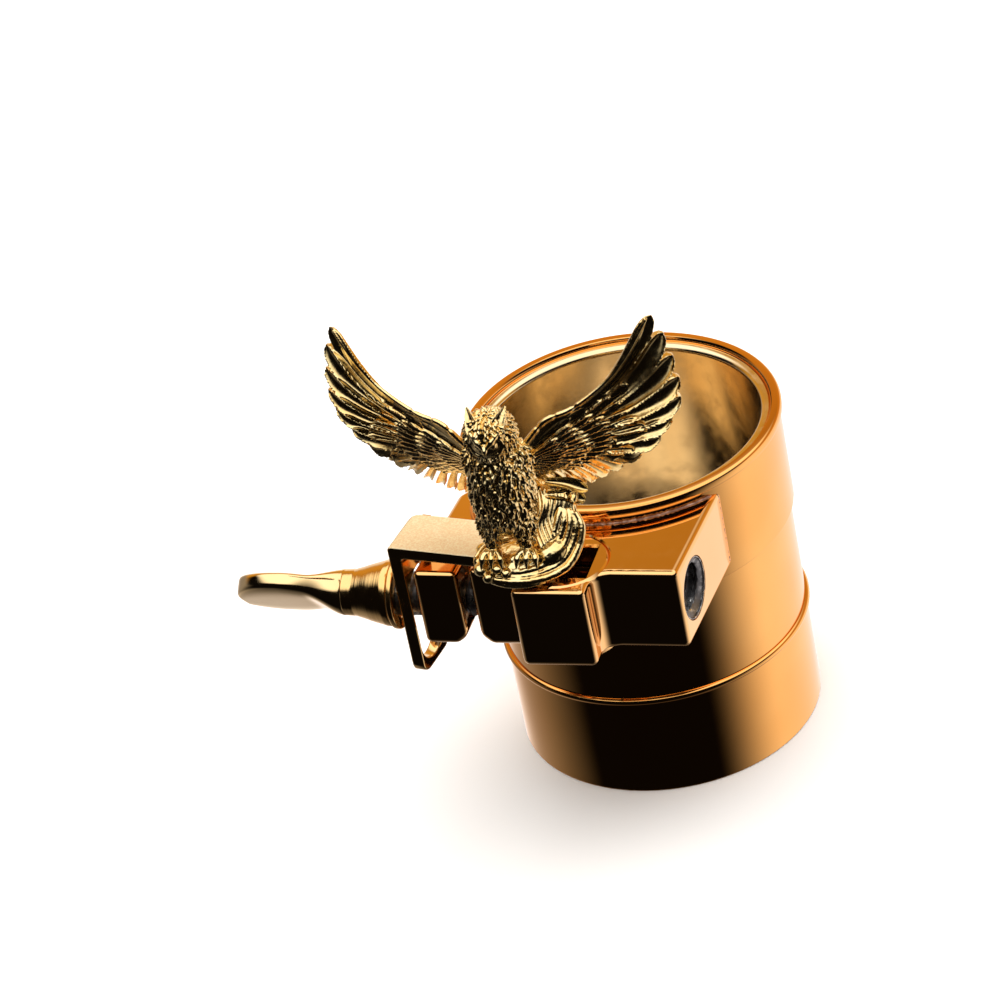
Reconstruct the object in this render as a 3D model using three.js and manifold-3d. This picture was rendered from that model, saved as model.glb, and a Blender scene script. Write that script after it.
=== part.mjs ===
// Neck receiver clamp of an alto saxophone, with a bracket that carries a winged owl ornament.
// Millimetres, +Z up. The origin is on the tube axis, at the foot of the receiver. +X runs along the
// clamp screw, away from its paddle, and -Y is the side that the lugs and the ornament face.

import * as THREE from "three";
import { mergeVertices } from "three/addons/utils/BufferGeometryUtils.js";
import Module from "manifold-3d";

const wasm = await Module();
wasm.setup();

// ---------- driving dimensions ----------

// Receiver tube
const BORE_R = 12.2; // takes a 24.4 mm neck tenon
const SLEEVE_R = 13.1;
const SKIRT_R = 13.5;
const COLLAR_R = 13.9;
const RIM_R = 14.15;
const RIM_H = 0.9;
const RECEIVER_H = 30.4;
const COLLAR_FOOT_Z = 20.4;
const BEAD_Z = 9.85;
const BEAD_WIRE_R = 0.35;
const TUBE_SEGMENTS = 96;

// Lugs and lyre block, which share one screw line
const LUG_TOP_Z = 28.9;
const LUG_FOOT_Z = 21.2;
const LUG_FRONT_Y = -20.9;
const LUG_LEFT_X = -13.4;
const SLIT_LEFT_X = -9.5;
const SLIT_RIGHT_X = -8.4;
const LUG_RIGHT_X = 9.9;
const LUG_RIGHT_FLARE_X = 10.8; // where the right face reaches the collar
const LUG_EDGE_R = 0.45;
const LEFT_LUG_TOP_FRONT_Z = 28.6; // the left lug's top falls towards the collar
const LEFT_LUG_TOP_BACK_Z = 27;
const SLIT_CHAMFER = 0.9; // its width
const SLIT_FOOT_Z = 21;
const SOLDER_GAP = 0.05;

// Lyre socket, a round bush with a square hole
const SOCKET_FRONT_Y = -23.8;
const SOCKET_LEFT_X = -3.95;
const SOCKET_RIGHT_X = 2.6;
const SOCKET_STEP_X = 3.6; // end of the hollow step to the right of the socket
const BUSH_X = -0.3;
const BUSH_Y = -19.2;
const BUSH_R = 3.9;
const SQUARE_X = 4.8;
const SQUARE_Y = 4.5;

// Clamp screw and lyre screw
const SCREW_Y = -17.6;
const SCREW_Z = 24.2;
const SCREW_R = 1.9;
const SCREW_CLEARANCE = 0.3; // on the radius, in the plain hole of the left lug
const SCREW_TIP_X = -5;
const INSERT_R = 2.8;
const INSERT_END_X = -4.9;
const THREAD_GAP = 0.12;
const LYRE_SCREW_Y = -17.65;
const LYRE_SCREW_Z = 25.15;
const LYRE_THREAD_R = 2.2;
const LYRE_INSERT_R = 2.75;
const LYRE_INSERT_LENGTH = 4.5;
const ROUND_SEGMENTS = 32;

// Thumbscrew head, along the screw line
const WASHER_X = -15.95;
const WASHER_R = 3.1;
const WASHER_THICKNESS = 0.5;
const HEAD_X = -16.5;
const HEAD_R = 2.9;
const WAIST_X = -20.9;
const WAIST_R = 2;
const PADDLE_TIP_X = -30.7;
const PADDLE_HALF_WIDTH = 4.3;
const PADDLE_THICKNESS = 1.9;
const PADDLE_EDGE_R = 0.4;
const PADDLE_MIDDLE = 0.52; // where it is widest, as a share of its length
const PADDLE_TURN = THREE.MathUtils.degToRad(-49); // from the horizontal, about the screw

// Bracket, in its own frame: x along the plate from the leg's outer face, y across it, 0 at the screw
const BRACKET_X = -15.25;
const BRACKET_YAW = THREE.MathUtils.degToRad(-8.5);
const BRACKET_FRONT = -2.2;
const BRACKET_BACK = 2.95;
const BRACKET_LENGTH = 12;
const BRACKET_THICKNESS = 1.15;
const BRACKET_TOP_Z = 30.5;
const BRACKET_FOOT_Z = 17.2;
const BRACKET_CORNER_R = 1.1;
const BRACKET_EDGE_R = 0.12;
const SLOT_Y = 0.25;
const SLOT_WIDTH = 4.25;
const SLOT_FOOT_Z = 17.85;
const SLOT_TOP_Z = 27;
const PEG_SCREW_X = 9.6; // countersunk screw that holds the ornament from below
const PEG_SCREW_R = 0.8;
const PEG_HEAD_R = 1.4;
const PEG_HEAD_H = 0.7;
const PEG_SCREW_TOP_Z = 31.4;

// Owl, in its own frame: x along the wings, -y where it looks, z as in the whole part
const OWL_X = -3.6;
const OWL_Y = -21;
const OWL_YAW = THREE.MathUtils.degToRad(3);
const CASTING_GAP = 0.3; // between the pieces of the casting
const TORSO_Z = 37.7;
const TORSO_RADII = [2.65, 2.45, 4.7];
const HEAD_Z = 42.9;
const HEAD_RADII = [2.1, 2.1, 2.3];
const EAR_SPREAD = 1.35;
const EAR_TIP_Z = 45.5;
const EAR_R = 0.55;
const EAR_LENGTH = 2.2;
const FOOT_RADII = [0.85, 1.4, 0.7];
const FOOT_SPREAD = 1.25;
const FOOT_Z = 32.5;
const TAIL_CENTRE = [1.2, 2.6, 35.2];
const TAIL_RADII = [1.5, 0.7, 2.6];
const TAIL_SLOPE = THREE.MathUtils.degToRad(30);

// Wings: s runs outwards from the owl's axis. The surface leans, y = WING_Y + slopes * (s, z - FAN_Z),
// and the feathers fan out from one point on the arm.
const WING_Y = 0.1;
const WING_SWEEP_SLOPE = 0.375;
const WING_LEAN_SLOPE = -0.163;
const WING_THICKNESS = 1;
const WING_ROOT_S = 2;
const FAN_S = 5;
const FAN_Z = 42;
const FEATHERS = 12;
const FIRST_FEATHER_ANGLE = 44;
const FEATHER_ANGLE_STEP = 11.3;
const FEATHER_REACH = 12.1;
const FEATHER_TAPER = 0.8;
const FEATHER_TAPER_EASE = 0.03;
const FEATHER_WIDTH = 2.4;
const WING_TIP = [13.9, 51];

// Rock that the owl stands on, in the owl's frame
const ROCK_FOOT_Z = 29.25;
const ROCK_TOP_Z = 31.7;
const ROCK_CENTRE = [0.5, 0.9];
const ROCK_RADII = [4.1, 3.3];
const WAVE_CENTRE = [3.6, 2];
const WAVE_R = 1.8;
const WAVE_TOP_Z = 33.2;

// ---------- materials ----------

const lacquer = (color, roughness) => new THREE.MeshStandardMaterial({ color, roughness, metalness: 1 });
const tubeLacquer = lacquer(0xd98a2e, 0.08);
const lugLacquer = lacquer(0xdf9438, 0.1);
const goldPlate = lacquer(0xe8c172, 0.22);
const sandedGold = lacquer(0xe3b872, 0.5);
const darkSteel = lacquer(0x3b3d44, 0.42);

// ---------- solids ----------

function toSolid(geometry) {
  const bare = geometry.clone();
  bare.deleteAttribute("normal");
  bare.deleteAttribute("uv");
  const merged = mergeVertices(bare, 1e-4);
  const mesh = new wasm.Mesh({
    numProp: 3,
    vertProperties: new Float32Array(merged.attributes.position.array),
    triVerts: new Uint32Array(merged.index.array),
  });
  return new wasm.Manifold(mesh);
}

function toGeometry(solid) {
  const { vertProperties, triVerts } = solid.getMesh();
  const geometry = new THREE.BufferGeometry();
  geometry.setAttribute("position", new THREE.BufferAttribute(vertProperties, 3));
  geometry.setIndex(new THREE.BufferAttribute(triVerts, 1));
  geometry.computeVertexNormals();
  return geometry;
}

function box(x0, x1, y0, y1, z0, z1) {
  const geometry = new THREE.BoxGeometry(x1 - x0, y1 - y0, z1 - z0);
  geometry.translate((x0 + x1) / 2, (y0 + y1) / 2, (z0 + z1) / 2);
  return geometry;
}

// A rod along X between two stations
function rodX(x0, x1, y, z, radius) {
  const geometry = new THREE.CylinderGeometry(radius, radius, x1 - x0, ROUND_SEGMENTS);
  geometry.rotateZ(-Math.PI / 2);
  geometry.translate((x0 + x1) / 2, y, z);
  return toSolid(geometry);
}

// A rod along Z, or a cone where the top radius differs
function rodZ(x, y, z0, z1, radius, topRadius = radius, segments = ROUND_SEGMENTS) {
  const geometry = new THREE.CylinderGeometry(topRadius, radius, z1 - z0, segments);
  geometry.rotateX(Math.PI / 2);
  geometry.translate(x, y, (z0 + z1) / 2);
  return toSolid(geometry);
}

// A closed ring about the Z axis, from [radius, z] corners
function ringZ(corners) {
  const profile = [...corners, corners[0]].map(([r, z]) => new THREE.Vector2(r, z));
  const geometry = new THREE.LatheGeometry(profile, TUBE_SEGMENTS);
  geometry.rotateX(Math.PI / 2);
  return toSolid(geometry);
}

// A body of revolution about X, from [x, radius] corners that start and end on the axis
function turnedX(corners) {
  const profile = corners.map(([x, r]) => new THREE.Vector2(r, x));
  const geometry = new THREE.LatheGeometry(profile, ROUND_SEGMENTS);
  geometry.rotateZ(-Math.PI / 2);
  return toSolid(geometry);
}

// A flat outline, extruded from z0 to z1 with rounded rims
function slab(shape, z0, z1, edge) {
  const geometry = new THREE.ExtrudeGeometry(shape, {
    depth: z1 - z0 - 2 * edge,
    bevelEnabled: edge > 0,
    bevelThickness: edge,
    bevelSize: edge,
    bevelOffset: -edge,
    bevelSegments: 2,
    curveSegments: 8,
  });
  geometry.translate(0, 0, z0 + edge);
  return geometry;
}

function polygon(points) {
  return new THREE.Shape(points.map(([x, y]) => new THREE.Vector2(x, y)));
}

function ellipsoid([rx, ry, rz], [x, y, z], margin = 0, tilt = 0) {
  const geometry = new THREE.SphereGeometry(1, 20, 12);
  geometry.rotateX(Math.PI / 2);
  geometry.scale(rx + margin, ry + margin, rz + margin);
  geometry.rotateX(tilt);
  geometry.translate(x, y, z);
  return toSolid(geometry);
}

function addMesh(group, name, solid, material) {
  const mesh = new THREE.Mesh(toGeometry(solid), material);
  mesh.name = name;
  group.add(mesh);
}

// ---------- receiver ----------

const slit = toSolid(box(SLIT_LEFT_X, SLIT_RIGHT_X, -20, -5, SLIT_FOOT_Z, RECEIVER_H + 1));

function addTubes(group) {
  const sleeve = ringZ([
    [BORE_R, 0],
    [SLEEVE_R, 0],
    [SLEEVE_R, RECEIVER_H - 0.4],
    [BORE_R + 0.5, RECEIVER_H - 0.4],
    [BORE_R, RECEIVER_H - 0.9],
  ]);
  addMesh(group, "neck_socket_sleeve", sleeve.subtract(slit), tubeLacquer);

  const inner = SLEEVE_R + SOLDER_GAP;
  const upperSkirt = ringZ([
    [inner, BEAD_Z + BEAD_WIRE_R],
    [SKIRT_R, BEAD_Z + BEAD_WIRE_R],
    [SKIRT_R, COLLAR_FOOT_Z - SOLDER_GAP],
    [inner, COLLAR_FOOT_Z - SOLDER_GAP],
  ]);
  addMesh(group, "upper_skirt", upperSkirt, tubeLacquer);

  const lowerSkirt = ringZ([
    [inner, 0],
    [SKIRT_R, 0],
    [SKIRT_R, BEAD_Z - BEAD_WIRE_R],
    [inner, BEAD_Z - BEAD_WIRE_R],
  ]);
  addMesh(group, "lower_skirt", lowerSkirt, tubeLacquer);

  const low = BEAD_Z - BEAD_WIRE_R + SOLDER_GAP;
  const high = BEAD_Z + BEAD_WIRE_R - SOLDER_GAP;
  const crown = SKIRT_R + BEAD_WIRE_R;
  const bead = ringZ([
    [inner, low],
    [SKIRT_R, low],
    [crown, BEAD_Z - BEAD_WIRE_R * 0.4],
    [crown, BEAD_Z + BEAD_WIRE_R * 0.4],
    [SKIRT_R, high],
    [inner, high],
  ]);
  addMesh(group, "bead_ring", bead, tubeLacquer);

  const collar = ringZ([
    [inner, COLLAR_FOOT_Z],
    [COLLAR_R, COLLAR_FOOT_Z],
    [COLLAR_R, RECEIVER_H - RIM_H],
    [RIM_R, RECEIVER_H - RIM_H + 0.25],
    [RIM_R, RECEIVER_H - 0.25],
    [RIM_R - 0.25, RECEIVER_H],
    [inner, RECEIVER_H],
  ]);
  addMesh(group, "clamp_collar", collar.subtract(slit), tubeLacquer);
}

// ---------- lugs ----------

const collarRoom = rodZ(
  0, 0, 0, RECEIVER_H + 1, COLLAR_R + SOLDER_GAP, COLLAR_R + SOLDER_GAP, TUBE_SEGMENTS,
);

// A bevel that runs along Y at the foot of the slit
function slitChamfer(x) {
  const geometry = new THREE.BoxGeometry(SLIT_CHAMFER, 20, SLIT_CHAMFER);
  geometry.rotateY(Math.PI / 4);
  geometry.translate(x, LUG_FRONT_Y + 5, LUG_FOOT_Z);
  return toSolid(geometry);
}

function addLeftLug(group) {
  const outline = polygon([
    [LUG_LEFT_X, LUG_FRONT_Y],
    [SLIT_LEFT_X, LUG_FRONT_Y],
    [SLIT_LEFT_X, -9],
    [LUG_LEFT_X + 0.9, -5.4],
    [LUG_LEFT_X, -7],
  ]);
  const length = -LUG_FRONT_Y - 6;
  const fall = Math.atan2(LEFT_LUG_TOP_FRONT_Z - LEFT_LUG_TOP_BACK_Z, length);
  const above = box(-4, 4, -1, length + 4, 0, 4);
  above.rotateX(-fall);
  above.translate(LUG_LEFT_X + 2, LUG_FRONT_Y, LEFT_LUG_TOP_FRONT_Z);
  const screwHole = rodX(
    LUG_LEFT_X - 1, SLIT_LEFT_X + 1, SCREW_Y, SCREW_Z, SCREW_R + SCREW_CLEARANCE,
  );
  const lug = toSolid(slab(outline, LUG_FOOT_Z, LUG_TOP_Z, LUG_EDGE_R))
    .subtract(toSolid(above))
    .subtract(slitChamfer(SLIT_LEFT_X))
    .subtract(collarRoom)
    .subtract(screwHole);
  addMesh(group, "left_lug", lug, lugLacquer);
}

function addLyreBlock(group) {
  const outline = new THREE.Shape();
  outline.moveTo(SLIT_RIGHT_X, LUG_FRONT_Y);
  outline.lineTo(SOCKET_LEFT_X, LUG_FRONT_Y);
  outline.lineTo(SOCKET_LEFT_X, SOCKET_FRONT_Y);
  outline.lineTo(SOCKET_RIGHT_X, SOCKET_FRONT_Y);
  outline.lineTo(SOCKET_RIGHT_X, LUG_FRONT_Y - 1);
  outline.quadraticCurveTo(SOCKET_RIGHT_X, LUG_FRONT_Y, SOCKET_STEP_X, LUG_FRONT_Y);
  outline.lineTo(LUG_RIGHT_X, LUG_FRONT_Y);
  outline.lineTo(LUG_RIGHT_FLARE_X, -8);
  outline.lineTo(8, -7);
  outline.lineTo(SLIT_RIGHT_X, -7);
  const insertHole = rodX(
    SLIT_RIGHT_X - 1, INSERT_END_X + SOLDER_GAP, SCREW_Y, SCREW_Z, INSERT_R + SOLDER_GAP,
  );
  const bushHole = rodZ(BUSH_X, BUSH_Y, LUG_FOOT_Z - 1, LUG_TOP_Z + 1, BUSH_R + SOLDER_GAP);
  const lyreHole = rodX(BUSH_X, LUG_RIGHT_X + 2, LYRE_SCREW_Y, LYRE_SCREW_Z, LYRE_THREAD_R);
  const lyreInsertHole = rodX(
    LUG_RIGHT_X - LYRE_INSERT_LENGTH - SOLDER_GAP, LUG_RIGHT_X + 2,
    LYRE_SCREW_Y, LYRE_SCREW_Z, LYRE_INSERT_R + SOLDER_GAP,
  );
  const block = toSolid(slab(outline, LUG_FOOT_Z, LUG_TOP_Z, LUG_EDGE_R))
    .subtract(slitChamfer(SLIT_RIGHT_X))
    .subtract(collarRoom)
    .subtract(insertHole)
    .subtract(bushHole)
    .subtract(lyreHole)
    .subtract(lyreInsertHole);
  addMesh(group, "lyre_block", block, lugLacquer);
}

function addLyreBush(group) {
  const square = box(
    BUSH_X - SQUARE_X / 2, BUSH_X + SQUARE_X / 2, BUSH_Y - SQUARE_Y / 2, BUSH_Y + SQUARE_Y / 2,
    LUG_FOOT_Z - 1, LUG_TOP_Z + 1,
  );
  const screwHole = rodX(BUSH_X, BUSH_X + BUSH_R + 1, LYRE_SCREW_Y, LYRE_SCREW_Z, LYRE_THREAD_R);
  const bush = rodZ(BUSH_X, BUSH_Y, LUG_FOOT_Z, LUG_TOP_Z, BUSH_R)
    .subtract(toSolid(square))
    .subtract(screwHole);
  addMesh(group, "lyre_socket_bush", bush, lugLacquer);
}

// A plain threaded bush along X
function bushX(x0, x1, y, z, outer, bore) {
  return rodX(x0, x1, y, z, outer).subtract(rodX(x0 - 1, x1 + 1, y, z, bore));
}

function addInserts(group) {
  const neckInsert = bushX(
    SLIT_RIGHT_X + 0.05, INSERT_END_X, SCREW_Y, SCREW_Z, INSERT_R, SCREW_R + THREAD_GAP,
  );
  addMesh(group, "neck_screw_insert", neckInsert, darkSteel);
  const lyreInsert = bushX(
    LUG_RIGHT_X - LYRE_INSERT_LENGTH, LUG_RIGHT_X - 0.15,
    LYRE_SCREW_Y, LYRE_SCREW_Z, LYRE_INSERT_R, LYRE_THREAD_R,
  );
  addMesh(group, "lyre_screw_insert", lyreInsert, darkSteel);
}

// ---------- thumbscrew ----------

// All of it lies on the screw line, which is the group's X axis
function addThumbscrew(group) {
  const washer = bushX(
    WASHER_X - WASHER_THICKNESS, WASHER_X, 0, 0, WASHER_R, SCREW_R + THREAD_GAP,
  );
  addMesh(group, "shoulder_washer", washer, lugLacquer);

  const shank = turnedX([
    [HEAD_X + SOLDER_GAP, 0],
    [HEAD_X + SOLDER_GAP, SCREW_R],
    [SCREW_TIP_X - 0.6, SCREW_R],
    [SCREW_TIP_X, SCREW_R - 0.6],
    [SCREW_TIP_X, 0],
  ]);
  addMesh(group, "thumbscrew_shank", shank, darkSteel);

  const barrel = turnedX([
    [WAIST_X, 0],
    [WAIST_X, WAIST_R],
    [WAIST_X + 0.9, WAIST_R + 0.05],
    [WAIST_X + 2.2, WAIST_R + 0.5],
    [HEAD_X - 0.5, HEAD_R],
    [HEAD_X - 0.15, HEAD_R],
    [HEAD_X, HEAD_R - 0.2],
    [HEAD_X, 0],
  ]);
  addMesh(group, "thumbscrew_barrel", barrel, lugLacquer);

  const tip = PADDLE_TIP_X - WAIST_X + SOLDER_GAP;
  const middle = tip * PADDLE_MIDDLE;
  const half = PADDLE_HALF_WIDTH;
  const outline = new THREE.Shape();
  outline.moveTo(0, -WAIST_R * 0.95);
  outline.bezierCurveTo(-1.6, -WAIST_R, -2.2, -half, middle, -half);
  outline.bezierCurveTo(middle - 3.2, -half, tip, -2.4, tip, 0);
  outline.bezierCurveTo(tip, 2.4, middle - 3.2, half, middle, half);
  outline.bezierCurveTo(-2.2, half, -1.6, WAIST_R, 0, WAIST_R * 0.95);
  const paddle = slab(outline, -PADDLE_THICKNESS / 2, PADDLE_THICKNESS / 2, PADDLE_EDGE_R);
  paddle.rotateX(PADDLE_TURN);
  paddle.translate(WAIST_X - SOLDER_GAP, 0, 0);
  addMesh(group, "thumbscrew_paddle", toSolid(paddle), lugLacquer);
}

// ---------- bracket ----------

function pegScrew(margin) {
  const plateFoot = BRACKET_TOP_Z - BRACKET_THICKNESS;
  const head = rodZ(
    PEG_SCREW_X, SLOT_Y, plateFoot, plateFoot + PEG_HEAD_H, PEG_HEAD_R + margin, PEG_SCREW_R + margin,
  );
  const stem = rodZ(
    PEG_SCREW_X, SLOT_Y, plateFoot + 0.1, PEG_SCREW_TOP_Z + margin, PEG_SCREW_R + margin,
  );
  return head.add(stem);
}

function addBracket(group) {
  const middle = (BRACKET_FRONT + BRACKET_BACK) / 2;
  const half = (BRACKET_BACK - BRACKET_FRONT) / 2;
  const r = BRACKET_CORNER_R;

  const plateOutline = new THREE.Shape();
  plateOutline.moveTo(0, -half);
  plateOutline.lineTo(BRACKET_LENGTH, -half);
  plateOutline.lineTo(BRACKET_LENGTH, half);
  plateOutline.lineTo(r, half);
  plateOutline.quadraticCurveTo(0, half, 0, half - r);
  const plate = slab(
    plateOutline, BRACKET_TOP_Z - BRACKET_THICKNESS, BRACKET_TOP_Z, BRACKET_EDGE_R,
  );
  plate.translate(0, middle, 0);

  // The leg is drawn flat, with its length along the outline's y, and stood up
  const legTop = BRACKET_TOP_Z - BRACKET_THICKNESS / 2;
  const legOutline = new THREE.Shape();
  legOutline.moveTo(-half, legTop);
  legOutline.lineTo(-half, BRACKET_FOOT_Z + r);
  legOutline.quadraticCurveTo(-half, BRACKET_FOOT_Z, -half + r, BRACKET_FOOT_Z);
  legOutline.lineTo(half - r, BRACKET_FOOT_Z);
  legOutline.quadraticCurveTo(half, BRACKET_FOOT_Z, half, BRACKET_FOOT_Z + r);
  legOutline.lineTo(half, legTop);
  const leg = slab(legOutline, 0, BRACKET_THICKNESS, BRACKET_EDGE_R);
  leg.rotateX(Math.PI / 2);
  leg.rotateZ(Math.PI / 2);
  leg.translate(0, middle, 0);

  const slotR = SLOT_WIDTH / 2;
  const slotFoot = rodX(-1, 3, SLOT_Y, SLOT_FOOT_Z + slotR, slotR);
  const slotTop = rodX(-1, 3, SLOT_Y, SLOT_TOP_Z - slotR, slotR);
  const slotMiddle = box(
    -1, 3, SLOT_Y - slotR, SLOT_Y + slotR, SLOT_FOOT_Z + slotR, SLOT_TOP_Z - slotR,
  );
  const bracket = toSolid(plate)
    .add(toSolid(leg))
    .subtract(slotFoot)
    .subtract(slotTop)
    .subtract(toSolid(slotMiddle))
    .subtract(pegScrew(0.1));
  addMesh(group, "ornament_bracket", bracket, sandedGold);
  addMesh(group, "ornament_screw", pegScrew(0), darkSteel);
}

// ---------- owl ----------

function torso(margin = 0) {
  return ellipsoid(TORSO_RADII, [0, 0, TORSO_Z], margin, THREE.MathUtils.degToRad(-6));
}

// A rounded pad with a wave that rises at its right-hand side
function rock(margin = 0) {
  const [cx, cy] = ROCK_CENTRE;
  const [rx, ry] = ROCK_RADII;
  const pad = new THREE.CylinderGeometry(0.86, 1, 1, 24);
  pad.rotateX(Math.PI / 2);
  pad.scale(rx + margin, ry + margin, ROCK_TOP_Z - ROCK_FOOT_Z + margin);
  pad.translate(cx, cy, (ROCK_TOP_Z + ROCK_FOOT_Z + margin) / 2);
  const [wx, wy] = WAVE_CENTRE;
  const wave = rodZ(
    wx, wy, ROCK_FOOT_Z + 0.2, WAVE_TOP_Z + margin, WAVE_R + margin, WAVE_R * 0.6 + margin,
  );
  return toSolid(pad).add(wave);
}

// The end of the bracket's plate, in the owl's frame
function plateRoom() {
  const room = box(
    0, BRACKET_LENGTH + CASTING_GAP, BRACKET_FRONT - CASTING_GAP, BRACKET_BACK + CASTING_GAP,
    ROCK_FOOT_Z - 1, BRACKET_TOP_Z + CASTING_GAP,
  );
  room.rotateZ(BRACKET_YAW);
  room.translate(BRACKET_X - OWL_X, SCREW_Y - OWL_Y, 0);
  room.rotateZ(-OWL_YAW);
  return toSolid(room);
}

// The hole that the ornament screw turns into, in the owl's frame
function pegRoom() {
  const room = new THREE.CylinderGeometry(PEG_SCREW_R + CASTING_GAP, PEG_SCREW_R + CASTING_GAP, 4, 16);
  room.rotateX(Math.PI / 2);
  room.translate(PEG_SCREW_X, SLOT_Y, PEG_SCREW_TOP_Z + 0.1 - 2);
  room.rotateZ(BRACKET_YAW);
  room.translate(BRACKET_X - OWL_X, SCREW_Y - OWL_Y, 0);
  room.rotateZ(-OWL_YAW);
  return toSolid(room);
}

function ear(side) {
  const geometry = new THREE.ConeGeometry(EAR_R, EAR_LENGTH, 10);
  geometry.rotateX(Math.PI / 2);
  geometry.rotateY(side * 0.12);
  geometry.translate(side * EAR_SPREAD, -0.4, EAR_TIP_Z - EAR_LENGTH / 2);
  return toSolid(geometry);
}

function beak() {
  const geometry = new THREE.ConeGeometry(0.5, 1.3, 8);
  geometry.rotateX(Math.PI);
  geometry.rotateX(Math.PI / 2 + 0.5);
  geometry.translate(0, -HEAD_RADII[1], HEAD_Z - 0.2);
  return toSolid(geometry);
}

function addOwlBody(group) {
  addMesh(group, "rock_base", rock().subtract(plateRoom()).subtract(pegRoom()), goldPlate);
  addMesh(group, "owl_torso", torso().subtract(rock(CASTING_GAP)), goldPlate);

  const head = ellipsoid(HEAD_RADII, [0, -0.3, HEAD_Z])
    .add(ear(-1))
    .add(ear(1))
    .add(beak())
    .subtract(torso(CASTING_GAP));
  addMesh(group, "owl_head", head, goldPlate);

  for (const [name, side] of [["left_foot", -1], ["right_foot", 1]]) {
    const leg = rodZ(side * FOOT_SPREAD, -0.6, FOOT_Z - 0.6, FOOT_Z + 2, 0.8, 0.95, 16);
    const foot = ellipsoid(FOOT_RADII, [side * FOOT_SPREAD, -1.2, FOOT_Z])
      .add(leg)
      .subtract(torso(CASTING_GAP))
      .subtract(rock(CASTING_GAP));
    addMesh(group, name, foot, goldPlate);
  }

  const tail = new THREE.SphereGeometry(1, 16, 10);
  tail.scale(...TAIL_RADII);
  tail.rotateX(TAIL_SLOPE);
  tail.rotateY(-TAIL_SLOPE);
  tail.translate(...TAIL_CENTRE);
  const tailSolid = toSolid(tail)
    .subtract(torso(CASTING_GAP))
    .subtract(rock(CASTING_GAP));
  addMesh(group, "owl_tail", tailSolid, goldPlate);
}

function flatBlade(outline) {
  const blade = new THREE.ExtrudeGeometry(outline, {
    depth: WING_THICKNESS, bevelEnabled: false, curveSegments: 4,
  });
  blade.translate(0, 0, -WING_THICKNESS / 2);
  return blade;
}

// A blade from the fan point to its tip, drawn flat with s as x and z as y
function feather(side, angle, reach) {
  const half = FEATHER_WIDTH / 2;
  const edge = half * 0.75;
  const outline = new THREE.Shape();
  outline.moveTo(0, -half * 0.5);
  outline.lineTo(reach - half, -edge);
  outline.quadraticCurveTo(reach, -edge, reach, 0);
  outline.quadraticCurveTo(reach, edge, reach - half, edge);
  outline.lineTo(0, half * 0.5);
  const blade = flatBlade(outline);
  blade.rotateZ(side > 0 ? angle : Math.PI - angle);
  blade.translate(side * FAN_S, FAN_Z, 0);
  return toSolid(blade);
}

function arm(side) {
  const [tipS, tipZ] = WING_TIP;
  const root = side * WING_ROOT_S;
  const outline = new THREE.Shape();
  outline.moveTo(root, 38.5);
  outline.lineTo(root, 41.3);
  outline.quadraticCurveTo(side * 4, 43.4, side * 6.6, 43.9);
  outline.quadraticCurveTo(side * 10.4, 45.6, side * (tipS - 0.5), tipZ);
  outline.lineTo(side * tipS, tipZ - 0.5);
  outline.quadraticCurveTo(side * 11.6, 42.6, side * 6.5, 38);
  return toSolid(flatBlade(outline));
}

function wing(side) {
  let flat = arm(side);
  for (let i = 0; i < FEATHERS; i += 1) {
    const angle = THREE.MathUtils.degToRad(FIRST_FEATHER_ANGLE - FEATHER_ANGLE_STEP * i);
    const reach = FEATHER_REACH - FEATHER_TAPER * i + FEATHER_TAPER_EASE * i * i;
    flat = flat.add(feather(side, angle, reach));
  }
  const standing = toGeometry(flat);
  standing.rotateX(Math.PI / 2);
  const lean = new THREE.Matrix4().set(
    1, 0, 0, 0,
    side * WING_SWEEP_SLOPE, 1, WING_LEAN_SLOPE, WING_Y - WING_LEAN_SLOPE * FAN_Z,
    0, 0, 1, 0,
    0, 0, 0, 1,
  );
  standing.applyMatrix4(lean);
  return toSolid(standing)
    .subtract(torso(CASTING_GAP))
    .subtract(ellipsoid(HEAD_RADII, [0, -0.3, HEAD_Z], CASTING_GAP));
}

// ---------- assembly ----------

const receiver = new THREE.Group();
addTubes(receiver);
addLeftLug(receiver);
addLyreBlock(receiver);
addLyreBush(receiver);
addInserts(receiver);

const thumbscrew = new THREE.Group();
thumbscrew.position.set(0, SCREW_Y, SCREW_Z);
addThumbscrew(thumbscrew);

const bracketFrame = new THREE.Group();
bracketFrame.position.set(BRACKET_X, SCREW_Y, 0);
bracketFrame.rotation.z = BRACKET_YAW;
addBracket(bracketFrame);

const owl = new THREE.Group();
owl.position.set(OWL_X, OWL_Y, 0);
owl.rotation.z = OWL_YAW;
addOwlBody(owl);
addMesh(owl, "left_wing", wing(-1), goldPlate);
addMesh(owl, "right_wing", wing(1), goldPlate);

const group = new THREE.Group();
group.add(receiver, thumbscrew, bracketFrame, owl);

export default group;
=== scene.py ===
"""Blender model of a saxophone neck receiver clamp with a bracket that carries a winged owl.

Shapes are drawn in millimetres in the frame of the CAD model and scaled to metres at the end.
"""

import math
import random

import bmesh
import bpy
import numpy as np
from mathutils import Matrix, Vector, noise


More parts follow.
